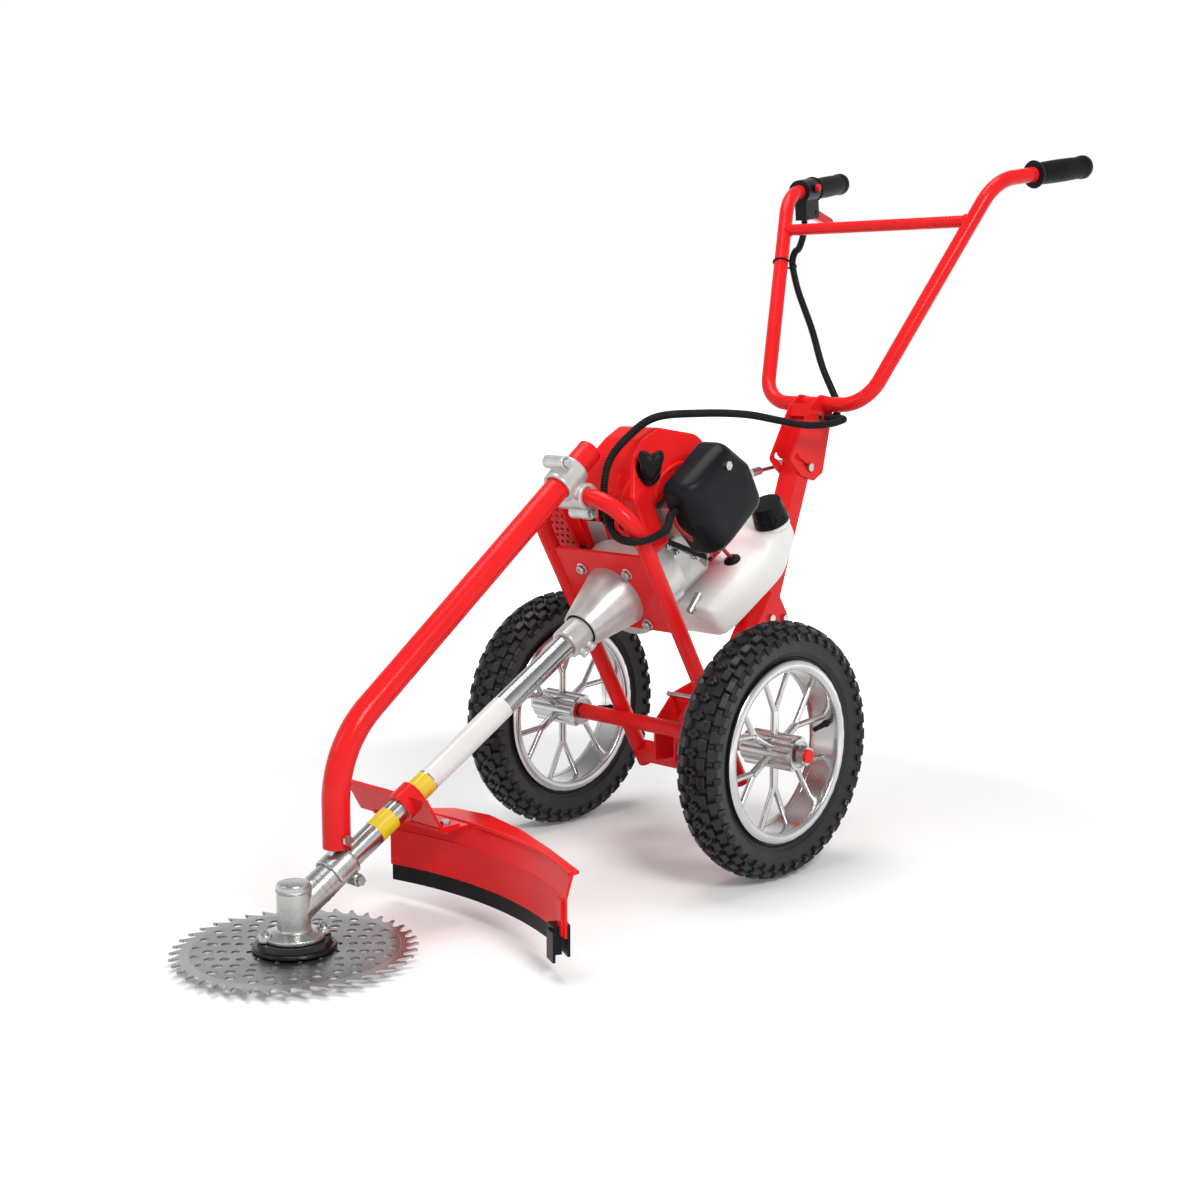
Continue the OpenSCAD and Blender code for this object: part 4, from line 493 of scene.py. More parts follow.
class Palette:
    """Materials made once for each finish."""

    def __init__(self) -> None:
        """Starts with no material made."""
        self._made: dict[Finish, Material] = {}

    def of(self, finish: Finish) -> Material:
        """Material of a finish, made on first use."""
        if finish not in self._made:
            self._made[finish] = finish.build()
        return self._made[finish]

    def dress_nodes(self) -> None:
        """Gives every node of the frame its finish."""
        for finish, names in NODE_FINISHES.items():
            for name in names:
                mesh = frame["nodes"][name].data
                mesh.materials.clear()
                mesh.materials.append(self.of(finish))


PALETTE = Palette()


class GeometryTree(Nodes):
    """Geometry Nodes tree with named inputs, laid on a mesh and baked into it."""

    def __init__(self, name: str) -> None:
        """Starts a tree with one geometry input and output.

        Args:
            name: Name of the tree.
        """
        super().__init__(bpy.data.node_groups.new(name, "GeometryNodeTree"))
        for way in ("INPUT", "OUTPUT"):
            self.tree.interface.new_socket("Geometry", in_out=way, socket_type="NodeSocketGeometry")
        self.source = self.add("NodeGroupInput")
        self.result = self.add("NodeGroupOutput")
        self.ids: dict[str, str] = {}

    def size(self, name: str, kind: str = "NodeSocketFloat") -> NodeSocket:
        """Adds a named input.

        Args:
            name: Name of the input.
            kind: Socket type.

        Returns:
            The socket inside the tree.
        """
        made = self.tree.interface.new_socket(name, in_out="INPUT", socket_type=kind)
        self.ids[name] = made.identifier
        return self.source.outputs[name]

    def close(self, geometry: NodeSocket, smooth: bool) -> None:
        """Ends the tree in Realize Instances and Set Material.

        Args:
            geometry: What the tree has made.
            smooth: Whether faces are shaded smooth.
        """
        material = self.size("Material", "NodeSocketMaterial")
        real = self.add("GeometryNodeRealizeInstances", {"Geometry": geometry})
        smoothing = {"Geometry": real.outputs[0], "Shade Smooth": smooth}
        shaded = self.add("GeometryNodeSetShadeSmooth", smoothing)
        finish = {"Geometry": shaded.outputs[0], "Material": material}
        dressed = self.add("GeometryNodeSetMaterial", finish)
        self.put(self.result.inputs[0], dressed.outputs[0])

    def bake(self, obj: Object, values: dict[str, Any]) -> None:
        """Runs the tree on an object and keeps the result as its plain mesh.

        Args:
            obj: Object whose mesh is the tree's input.
            values: Values of the named inputs.
        """
        modifier = obj.modifiers.new(self.tree.name, "NODES")
        modifier.node_group = self.tree
        for name, value in values.items():
            modifier[self.ids[name]] = value
        bake_modifiers(obj)


def bake_modifiers(obj: Object) -> None:
    """Turns an object and its modifiers into one plain mesh.

    Args:
        obj: Mesh object at the origin.
    """
    graph = bpy.context.evaluated_depsgraph_get()
    graph.update()
    mesh = bpy.data.meshes.new_from_object(obj.evaluated_get(graph), depsgraph=graph)
    obj.modifiers.clear()
    old = obj.data
    obj.data = mesh
    bpy.data.meshes.remove(old)


def hose_tree() -> GeometryTree:
    """Tree that sweeps a ribbed or plain round hose along a polyline.

    Returns:
        The tree, with inputs for the rib pitch, radius, rib depth and step.
    """
    tree = GeometryTree("hose_along_route")
    pitch, radius = tree.size("Rib pitch"), tree.size("Radius")
    depth, step = tree.size("Rib depth"), tree.size("Step")
    curve = tree.add("GeometryNodeMeshToCurve", {"Mesh": tree.source.outputs["Geometry"]})
    even = tree.add("GeometryNodeResampleCurve", {"Curve": curve.outputs[0], "Length": step}, mode="LENGTH")
    along = tree.add("GeometryNodeSplineParameter").outputs["Length"]
    wave = tree.math("COSINE", tree.math("MULTIPLY", tree.math("DIVIDE", along, pitch), math.tau))
    swell = tree.math("MULTIPLY", tree.math("SUBTRACT", wave, 1.0), tree.math("MULTIPLY", depth, 0.5))
    reach = tree.math("ADD", radius, swell)
    circle = tree.add("GeometryNodeCurvePrimitiveCircle", {"Resolution": 16, "Radius": 1.0}, mode="RADIUS")
    sweep = {"Curve": even.outputs[0], "Profile Curve": circle.outputs[0], "Scale": reach, "Fill Caps": True}
    swept = tree.add("GeometryNodeCurveToMesh", sweep)
    tree.close(swept.outputs[0], True)
    return tree


def ring_tree() -> GeometryTree:
    """Tree that sets copies of one shape on a ring about local Z, each with its +X outwards.

    Returns:
        The tree, with inputs for the count, radius, place along the axis and first angle.
    """
    tree = GeometryTree("copies_on_ring")
    count, radius = tree.size("Count", "NodeSocketInt"), tree.size("Radius")
    along, first = tree.size("Along"), tree.size("First angle")
    circle = tree.add("GeometryNodeMeshCircle", {"Vertices": count, "Radius": radius})
    move = tree.add("ShaderNodeCombineXYZ", {"Z": along})
    turn = tree.add("ShaderNodeCombineXYZ", {"Z": first})
    placed = tree.add(
        "GeometryNodeTransform",
        {"Geometry": circle.outputs[0], "Translation": move.outputs[0], "Rotation": turn.outputs[0]},
    )
    place = tree.add("GeometryNodeInputPosition").outputs[0]
    flat = tree.add("ShaderNodeVectorMath", {0: place, 1: (1.0, 1.0, 0.0)}, operation="MULTIPLY")
    outwards = {"Vector": flat.outputs[0]}
    facing = tree.add("FunctionNodeAlignRotationToVector", outwards, axis="X", pivot_axis="Z")
    copies = tree.add(
        "GeometryNodeInstanceOnPoints",
        {
            "Points": placed.outputs[0],
            "Instance": tree.source.outputs["Geometry"],
            "Rotation": facing.outputs[0],
        },
    )
    tree.close(copies.outputs[0], False)
    return tree


def spot_tree() -> GeometryTree:
    """Tree that sets copies of another object on points, each with its +Z along the point's axis.

    Returns:
        The tree, with an input for the copied object.
    """
    tree = GeometryTree("copies_on_spots")
    shape = tree.size("Shape", "NodeSocketObject")
    copied = {"Object": shape, "As Instance": True}
    info = tree.add("GeometryNodeObjectInfo", copied, transform_space="ORIGINAL")
    axis = tree.add("GeometryNodeInputNamedAttribute", {"Name": "axis"}, data_type="FLOAT_VECTOR")
    facing = tree.add("FunctionNodeAlignRotationToVector", {"Vector": axis.outputs[0]}, axis="Z")
    copies = tree.add(
        "GeometryNodeInstanceOnPoints",
        {
            "Points": tree.source.outputs["Geometry"],
            "Instance": info.outputs["Geometry"],
            "Rotation": facing.outputs[0],
        },
    )
    tree.close(copies.outputs[0], False)
    return tree


class Trees(Enum):
    """Geometry Nodes trees shared by the sub-assemblies."""

    HOSE = hose_tree()
    RING = ring_tree()
    SPOTS = spot_tree()


def new_object(name: str, mesh: Mesh) -> Object:
    """Links a mesh to the scene as an object at the origin.

    Args:
        name: Name of the piece.
        mesh: Its mesh.

    Returns:
        The object.
    """
    obj = bpy.data.objects.new(name, mesh)
    bpy.context.scene.collection.objects.link(obj)
    return obj


def mesh_from(name: str, points: Iterable[Sequence[float]], faces: Iterable[Sequence[int]] = (),
              edges: Iterable[Sequence[int]] = ()) -> Mesh:
    """Mesh from points, edges and faces.

    Args:
        name: Name of the mesh.
        points: Vertices in metres.
        faces: Vertex indices of each face.
        edges: Vertex indices of each loose edge.

    Returns:
        The mesh.
    """
    mesh = bpy.data.meshes.new(name)
    mesh.from_pydata([tuple(p) for p in points], list(edges), list(faces))
    mesh.update()
    return mesh


def dress(obj: Object, finish: Finish, body: Body, crease: float = 40.0) -> None:
    """Gives a finished piece its material and body.

    Args:
        obj: Piece at the origin.
        finish: Its finish.
        body: Body that carries it.
        crease: Angle in degrees above which an edge stays sharp.
    """
    obj.data.materials.clear()
    obj.data.materials.append(PALETTE.of(finish))
    shade(obj, crease)
    carry(obj, body)


def shade(obj: Object, crease: float) -> None:
    """Shades a piece smooth, apart from edges above an angle in degrees."""
    obj.data.shade_smooth()
    obj.data.set_sharp_from_angle(angle=math.radians(crease))


def carry(obj: Object, body: Body) -> Object:
    """Sets a piece on its body and logs its body and face count."""
    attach(obj, body.value)
    LOG.info("%s rides on %s with %d faces", obj.name, body.value, len(obj.data.polygons))
    return obj


def loft(rings: Sequence[Sequence[Vector]], close_ends: bool = True) -> tuple[list[Vector], list[list[int]]]:
    """Skin over rings that all have the same number of points.

    Args:
        rings: Rings of points, each in order round the shape.
        close_ends: Whether the first and last ring are filled.

    Returns:
        Points and faces.
    """
    count = len(rings[0])
    points = [p for ring in rings for p in ring]
    faces = []
    for j in range(len(rings) - 1):
        for k in range(count):
            a, b = j * count + k, j * count + (k + 1) % count
            faces.append([a, b, b + count, a + count])
    if close_ends:
        faces.append(list(range(count))[::-1])
        faces.append([(len(rings) - 1) * count + k for k in range(count)])
    return points, faces


def lathe(profile: Sequence[Pair], steps: int, at: Matrix,
          closed: bool = False) -> tuple[list[Vector], list[list[int]]]:
    """Turned shape about local Z.

    Args:
        profile: Pairs of radius and place along the axis, in millimetres.
        steps: Facets round the axis.
        at: Frame of the axis.
        closed: Whether the profile closes on itself, as on a ring.

    Returns:
        Points and faces.
    """
    rings = []
    for r, z in (*profile, profile[0]) if closed else profile:
        angles = [math.tau * k / steps for k in range(steps)]
        rings.append([at @ (Vector((r * math.cos(a), r * math.sin(a), z)) * MM) for a in angles])
    return loft(rings, not closed)


def fixed_normals(mesh: Mesh) -> Mesh:
    """Merges doubles and turns every face outwards.

    Args:
        mesh: Closed mesh.

    Returns:
        The same mesh.
    """
    shape = bmesh.new()
    shape.from_mesh(mesh)
    bmesh.ops.remove_doubles(shape, verts=shape.verts, dist=0.01 * MM)
    bmesh.ops.recalc_face_normals(shape, faces=shape.faces)
    shape.to_mesh(mesh)
    shape.free()
    return mesh


def turned(name: str, profile: Sequence[Pair], at: Matrix, steps: int = 48,
           closed: bool = False) -> Object:
    """Turned piece as an object, with the arguments of lathe."""
    return new_object(name, fixed_normals(mesh_from(name, *lathe(profile, steps, at, closed))))


def lofted(name: str, rings: Sequence[Sequence[Vector]]) -> Object:
    """Closed piece skinned over rings of points, as an object."""
    return new_object(name, fixed_normals(mesh_from(name, *loft(rings))))


def block(size: Point, bevel: float, lift: float = 0.0, taper: float = 1.0) -> Mesh:
    """Small block with chamfered edges, its length along X, for repeated copies.

    Args:
        size: Lengths along X, Y and Z in millimetres.
        bevel: Width of the chamfer in millimetres.
        lift: Height of the block's middle above its origin along X in millimetres.
        taper: Share of the width left at the far end along X.

    Returns:
        The mesh.
    """
    shape = bmesh.new()
    bmesh.ops.create_cube(shape, size=1.0)
    for vertex in shape.verts:
        share = taper if vertex.co.x > 0 else 1.0
        along, wide, high = (part * length for part, length in zip(vertex.co, size))
        vertex.co = Vector((along + lift, wide * share, high * share)) * MM
    bmesh.ops.bevel(
        shape, geom=list(shape.edges), offset=bevel * MM, segments=1, affect="EDGES", profile=0.5,
    )
    mesh = bpy.data.meshes.new("block")
    shape.to_mesh(mesh)
    shape.free()
    return mesh


def smooth_route(points: Sequence[Vector], steps: int = 12) -> list[Vector]:
    """Points along a Catmull-Rom curve through the given ones.

    Args:
        points: Points to pass through.
        steps: Steps between two of them.

    Returns:
        The finer points.
    """
    line = []
    last = len(points) - 1
    for i in range(last):
        a, b = points[max(i - 1, 0)], points[i]
        c, d = points[i + 1], points[min(i + 2, last)]
        for k in range(steps):
            t = k / steps
            first, second, third = c - a, 2 * a - 5 * b + 4 * c - d, 3 * b - a - 3 * c + d
            line.append(0.5 * (2 * b + first * t + second * t ** 2 + third * t ** 3))
    return [*line, points[last]]


@dataclass
class Hose:
    """Round hose, cable or lead along a given route."""

    name: str
    body: Body
    finish: Finish
    points: list[Vector]
    radius: float = 5.0
    rib_pitch: float = 3.4
    rib_depth: float = 0.0
    step: float = 2.0

    def build(self) -> Object:
        """Sweeps the hose with the shared tree.

        Returns:
            The piece, carried by its body.
        """
        line = smooth_route(self.points)
        edges = [(i, i + 1) for i in range(len(line) - 1)]
        obj = new_object(self.name, mesh_from(self.name, line, edges=edges))
        Trees.HOSE.value.bake(obj, {
            "Rib pitch": self.rib_pitch * MM, "Radius": self.radius * MM, "Rib depth": self.rib_depth * MM,
            "Step": self.step * MM, "Material": PALETTE.of(self.finish),
        })
        return carry(obj, self.body)

    def declare(self, node: str) -> None:
        """Args:
            node: Node of the frame with the plain form.
        """
        obj = self.build()
        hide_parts(node)


def on_ring(obj: Object, finish: Finish, count: int, radius: float, along: float, phase: float = 0.0) -> None:
    """Turns an object's mesh into a ring of copies about local Z.

    Args:
        obj: Object with one copy, its +X outwards.
        finish: Its finish.
        count: Number of copies.
        radius: Radius of the ring in millimetres.
        along: Place along the axis in millimetres.
        phase: Turn of the first copy, as a share of the pitch.
    """
    Trees.RING.value.bake(obj, {
        "Count": count, "Radius": radius * MM, "Along": along * MM,
        "First angle": phase * math.tau / count, "Material": PALETTE.of(finish),
    })


def engine_hose(name: str, finish: Finish, points: Sequence[Point], radius: float) -> None:
    """Hose on the frame whose route is given in the engine's frame, in millimetres."""
    Hose(name, Body.FRAME, finish, [LAYOUT.in_engine(p) for p in points], radius).build()


@dataclass
class Conduits:
    """Corrugated throttle conduit in two lengths that meet on the handle's pivot."""

    radius: float = 5.0
    rib_pitch: float = 3.4
    rib_depth: float = 1.1
    step: float = 0.6
    start: tuple[Point, ...] = ((0.0, -128.0, -41.02), (0.0, -128.0, -53.0))
    upper: tuple[Point, ...] = (
        (-178, 214, 248), (-164, 188, 233), (-147, 156, 225), (-134, 134, 210), (-122, 125, 188),
        (-108, 118, 164), (-72, 101, 115), (-36, 77, 67), (4, 50, 31), (20, 40, 16), (26, 28, 3),
        (26, 14, -2), (29, 4, 0), (36, 0, 0), (46, 0, 0),
    )
    lower: tuple[Point, ...] = (
        (46.3, 0, 0), (54, 0, 0), (61, -4, -1), (64, -13, -2), (62, -26, -5), (55, -45, -7),
        (45, -72, -6), (35, -105, 0), (32, -171, 10), (30, -255, 14),
    )
    engine: tuple[Point, ...] = (
        (28, 136, 165), (26, 82, 169), (26, 46, 162), (28, 21, 141), (34, 6, 121), (46, -8, 107),
        (62, -15, 98), (82, -16, 96), (97, -8, 94), (102, 8, 91), (100, 26, 89), (92, 44, 92),
        (92, 55.98, 92),
    )

    def build(self) -> None:
        """Makes both lengths."""
        grip = LAYOUT.right_grip()
        above = [grip @ (Vector(p) * MM) for p in self.start] + [LAYOUT.about_pivot(p) for p in self.upper]
        below = [LAYOUT.about_pivot(p) for p in self.lower] + [LAYOUT.in_engine(p) for p in self.engine]
        for name, body, points in (("upper", Body.HANDLE, above), ("lower", Body.FRAME, below)):
            sizes = (self.radius, self.rib_pitch, self.rib_depth, self.step)
            Hose(f"ribbed_conduit_{name}", body, BLACK_RUBBER, points, *sizes).declare(f"conduit_{name}")


@dataclass(frozen=True)
class KnobRow:
    """One row of tread blocks: angle round the tyre's section, size and phase."""

    angle: float
    size: Point
    phase: float = 0.0
    taper: float = 0.82


@dataclass
class Wheel:
    """Tyre with its tread blocks, and the small fittings of one wheel."""

    side: int
    tread: float = 153.5
    bed: float = 100.0
    half: float = 28.0
    knob: float = 5.0
    knobs: int = 44
    knob_bevel: float = 0.8
    knob_sunk: float = 1.0
    crown_lift: float = 4.0
    wall_inset: float = 1.5
    shoulder: int = 75
    shoulder_step: int = 6
    facets: int = 96
    wall: tuple[Pair, ...] = (
        (100.5, -15.5), (108, -16.4), (112, -17.2), (113.4, -18.8), (115, -19.2), (119, -22.4), (121, -22.6),
    )
    valve_turn: float = 100.0
    valve_seat: Point = (98.0, 0.0, 4.0)
    valve_outline: tuple[Pair, ...] = (
        (0, -1), (5, -1), (4.6, 2), (3.4, 6), (3.2, 15), (2.6, 16), (2.6, 17), (3.1, 17.5), (3.1, 24),
        (2, 25), (0, 25),
    )
    lip: tuple[Pair, ...] = (
        (96.5, 14.0), (96.6, 19.0), (97.2, 21.6), (98.4, 22.9), (100.2, 23.8), (102.4, 24.3), (104.6, 24.2),
        (106.6, 23.7), (108.2, 22.9), (109.3, 21.8), (109.3, 21.2), (104.0, 21.0), (98.6, 19.6), (97.4, 14.0),
    )
    rows: tuple[KnobRow, ...] = (
        KnobRow(0.0, (6.0, 12.5, 8.5)), KnobRow(0.0, (6.0, 6.0, 15.0)),
        KnobRow(27.0, (6.0, 15.0, 10.5), 0.5), KnobRow(-27.0, (6.0, 15.0, 10.5), 0.5),
        KnobRow(50.0, (6.0, 16.5, 9.5)), KnobRow(-50.0, (6.0, 16.5, 9.5)),
        KnobRow(72.0, (4.0, 8.5, 11.0), 0.5), KnobRow(-72.0, (4.0, 8.5, 11.0), 0.5),
    )

    @property
    def label(self) -> str:
        """Name of the wheel's side."""
        return "left" if self.side > 0 else "right"

    @property
    def body(self) -> Body:
        """Body of the wheel."""
        return Body.LEFT_WHEEL if self.side > 0 else Body.RIGHT_WHEEL

    def section(self, angle: float) -> tuple[float, float, float]:
        """Point of the carcass and the lean of its surface.

        Args:
            angle: Angle round the section in degrees, 0 at the crown.

        Returns:
            Radius and place along the axle in millimetres, and the lean in radians.
        """
        a = math.radians(angle)
        tall = (self.tread - self.bed) / 2 - self.crown_lift - self.knob
        wide = (self.half - self.wall_inset) / math.sin(math.radians(self.shoulder))
        radius = (self.tread + self.bed) / 2 + self.crown_lift + tall * math.cos(a)
        return radius, wide * math.sin(a), math.atan2(math.sin(a) / wide, math.cos(a) / tall)

    def profile(self) -> list[Pair]:
        """Closed outline of the carcass with beads on its walls."""
        angles = range(-self.shoulder, self.shoulder + 1, self.shoulder_step)
        crown = [self.section(a)[:2] for a in angles]
        right = [(r, -x) for r, x in reversed(self.wall)]
        return [*self.wall, *crown, *right]

    def build(self) -> None:
        """Makes the tyre, the valve and both rim lips."""
        at = LAYOUT.wheel(self.side)
        tyre = turned(f"{self.label}_knobbly_tyre", self.profile(), at, self.facets, closed=True)
        parts = [tyre]
        for i, row in enumerate(self.rows):
            parts.append(self.knob_row(f"{self.label}_knobs_{i}", row, at))
        join(parts)
        dress(tyre, TYRE, self.body, crease=25.0)
        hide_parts(f"{self.label}_tyre")
        self.valve(at)
        for face, sign in (("outer", 1), ("inner", -1)):
            profile = [(r, sign * z) for r, z in self.lip]
            ring = turned(f"{self.label}_rim_lip_{face}", profile, at, self.facets, closed=True)
            dress(ring, BRIGHT_ALLOY, self.body)

    def knob_row(self, name: str, row: KnobRow, at: Matrix) -> Object:
        """One ring of tread blocks.

        Args:
            name: Name of the object.
            row: The row.
            at: Frame of the wheel.

        Returns:
            The ring as an object in the shared frame.
        """
        radius, along, lean = self.section(row.angle)
        shape = block(row.size, self.knob_bevel, row.size[0] / 2 - self.knob_sunk, row.taper)
        shape.transform(Matrix.Rotation(-lean, 4, "Y"))
        obj = new_object(name, shape)
        on_ring(obj, TYRE, self.knobs, radius, along, row.phase)
        obj.data.transform(at)
        return obj

    def valve(self, at: Matrix) -> None:
        """Rubber valve stem with its cap, on the inside of the rim."""
        around = at @ Matrix.Rotation(math.radians(self.valve_turn), 4, "Z")
        place = around @ Matrix.Translation(Vector(self.valve_seat) * MM)
        stem = place @ Matrix.Rotation(-math.pi / 2, 4, "Y")
        valve = turned(f"{self.label}_valve", self.valve_outline, stem, steps=20)
        dress(valve, BLACK_RUBBER, self.body)


def join(parts: Sequence[Object]) -> None:
    """Joins objects into the first one.

    Args:
        parts: Objects at the origin; the first one stays.
    """
    shape = bmesh.new()
    for part in parts:
        shape.from_mesh(part.data)
    shape.to_mesh(parts[0].data)
    shape.free()
    for part in parts[1:]:
        bpy.data.objects.remove(part)


@dataclass
class Blade:
    """Brazed tips on the saw blade's teeth."""

    teeth: int = 40
    tip_radius: float = 124.6
    tip: Point = (5.2, 2.6, 2.6)
    height: float = 11.0
    first: float = 0.67
    bevel: float = 0.25

    def build(self) -> None:
        """Makes the ring of tips."""
        obj = new_object("blade_tips", block(self.tip, self.bevel))
        on_ring(obj, CARBIDE, self.teeth, self.tip_radius, self.height, self.first)
        carry(obj, Body.CUTTER)


@dataclass
class Grips:
    """Rubber grips with a collar and fine rings."""

    bar: float = 10.02
    outer: float = 15.5
    collar: float = 18.0
    rings: int = 22
    ring: tuple[Pair, ...] = ((0.0, 0.0), (0.0, 0.62), (0.6, 0.7), (0.6, 0.92))
    swell: float = 0.9
    plain: float = 18.0
    first: float = 8.0
    lengths: dict[str, float] = field(default_factory=lambda: {"left": 102.0, "right": 98.0})

    def profile(self, length: float) -> list[Pair]:
        """Outline of a grip from the collar to the cap.

        Args:
            length: Length on the bar in millimetres.

        Returns:
            Radius and place along the bar, in millimetres.
        """
        line = [(self.bar, -length), (self.collar, -length), (self.collar + 0.6, -length + 1.2)]
        line += [(self.collar, -length + 3.2), (self.outer - 0.6, -length + 5)]
        span = length - self.plain
        for k in range(self.rings):
            z = -length + self.first + span * k / self.rings
            swell = self.outer - 1.0 + self.swell * math.sin(math.pi * k / self.rings)
            line += [(swell - deep, z + span / self.rings * share) for deep, share in self.ring]
        line += [(self.outer + 0.3, -8), (self.outer + 0.3, -1), (self.outer - 1.4, 2.4)]
        line += [(self.outer - 5, 3.8), (0, 4), (0, 0.1), (self.bar, 0.1)]
        return line

    def build(self) -> None:
        """Makes both grips."""
        right = LAYOUT.right_grip()
        mirror = Matrix.Diagonal((-1, 1, 1, 1))
        for side, at in (("right", right), ("left", mirror @ right)):
            frame_z = at @ Matrix.Rotation(-math.pi / 2, 4, "X")
            outline = self.profile(self.lengths[side])
            obj = turned(f"{side}_rubber_grip", outline, frame_z, steps=40, closed=True)
            dress(obj, BLACK_RUBBER, Body.HANDLE)
            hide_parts(f"{side}_grip")


@dataclass
class FilterCover:
    """Domed air filter cover, lofted between shrinking outlines."""

    near: float = 78.02
    face: float = 122.0
    edge: float = 24.0
    low: Pair = (56.0, 15.0)
    high: Pair = (172.0, 130.0)
    front_draft: float = 1.25
    back_draft: float = 0.6
    corner: float = 16.0
    dome_steps: int = 12
    lead_in: tuple[Pair, ...] = ((0.0, 1.5), (1.0, 0.4), (3.0, 0.0))
    crown: tuple[Pair, ...] = ((0.5, 8.0), (0.8, 16.0))

    def outline(self, inset: float) -> list[Pair]:
        """Outline in the engine's Y and Z, drawn in from the widest one.

        Args:
            inset: Distance drawn in, in millimetres.

        Returns:
            Points in millimetres.
        """
        (y0, z0), (y1, z1) = self.low, self.high
        front, back = self.front_draft * inset, self.back_draft * inset
        corners = [
            (y0 + 14 + front, z0 + back), (y1 - back, z0 + 10 + back), (y1 - back, z1 - 46),
            (y1 - 24 - back, z1 - back), (y0 + front, z1 - 10 - back), (y0 + front, z0 + 52),
        ]
        return rounded_outline(corners, self.corner)

    def build(self) -> None:
        """Makes the cover."""
        wall = self.face - self.edge
        rings = [(self.near + out, inset) for out, inset in self.lead_in]
        rings.append((wall, 0.0))
        for k in range(1, self.dome_steps + 1):
            a = math.pi / 2 * k / self.dome_steps
            rings.append((wall + self.edge * math.sin(a), self.edge * (1 - math.cos(a))))
        rings += [(self.face + out, self.edge + inset) for out, inset in self.crown]
        points = [[LAYOUT.in_engine((x, y, z)) for y, z in self.outline(t)] for x, t in rings]
        obj = lofted("filter_cover", points)
        dress(obj, BLACK_PLASTIC, Body.FRAME)
        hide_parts("air_filter_cover")


def rounded_outline(corners: Sequence[Pair], radius: float, steps: int = 6) -> list[Pair]:
    """Closed outline whose corners are rounded, each up to CORNER_SHARE of its sides.

    Args:
        corners: Corner points in order.
        radius: Wished corner radius.
        steps: Steps round each corner.

    Returns:
        Points of the outline, the same number for each corner.
    """
    made = []
    count = len(corners)
    for i in range(count):
        a, b, c = (Vector(corners[(i + k) % count]) for k in (-1, 0, 1))
        u, v = a - b, c - b
        half = u.angle(v) / 2
        reach = min(radius / math.tan(half), CORNER_SHARE * u.length, CORNER_SHARE * v.length)
        p, q = b + u.normalized() * reach, b + v.normalized() * reach
        for k in range(steps + 1):
            t = k / steps
            made.append(tuple((1 - t) ** 2 * p + 2 * t * (1 - t) * b + t ** 2 * q))
    return made


@dataclass
class Tank:
    """Blow-moulded fuel tank, lofted along the engine from rounded sections."""

    half: float = 80.0
    corner: float = 24.0
    corner_share: float = 0.45
    stations: tuple[tuple[float, float, float, float], ...] = (
        (62, 0.80, -74, -62), (63.5, 0.9, -86, -59), (68, 0.97, -105, -57), (76, 1.0, -112, -57.5),
        (100, 1.0, -113.5, -59), (140, 1.0, -113.5, -59.5), (176, 1.0, -113, -59), (188, 1.0, -113, -55),
        (197, 1.0, -112, -48.5), (206, 1.0, -110, -46.5), (222, 0.99, -101, -46), (238, 0.97, -89, -47),
        (246, 0.93, -82, -50), (249.5, 0.85, -76, -55),
    )
    neck: Pair = (59.0, 230.0)
    neck_radius: float = 17.0
    neck_top: float = -34.0

    def section(self, y: float, share: float, low: float, high: float) -> list[Vector]:
        """Rounded section of the tank.

        Args:
            y: Place along the engine.
            share: Share of the half width.
            low: Lower side.
            high: Upper side.

        Returns:
            Points in the shared frame.
        """
        wide = self.half * share
        corners = [(-wide, low), (wide, low), (wide, high), (-wide, high)]
        radius = min(self.corner, self.corner_share * (high - low))
        return [LAYOUT.in_engine((x, y, z)) for x, z in rounded_outline(corners, radius, 8)]

    def build(self) -> None:
        """Makes the tank with its filler neck."""
        rings = [self.section(*station) for station in self.stations]
        body = lofted("milky_fuel_tank", rings)
        modifier = body.modifiers.new("soften", "SUBSURF")
        modifier.levels = modifier.render_levels = 1
        bake_modifiers(body)
        r, top = self.neck_radius, self.neck_top
        outline = [(r + 5, -52), (r + 5, -46.5), (r + 1, -44.5), (r, -43)]
        outline += [(r, top), (r - 3, top), (r - 3, -52)]
        neck = turned("neck", outline, LAYOUT.engine_at((*self.neck, 0)), closed=True)
        join([body, neck])
        dress(body, TANK, Body.FRAME)
        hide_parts("fuel_tank")


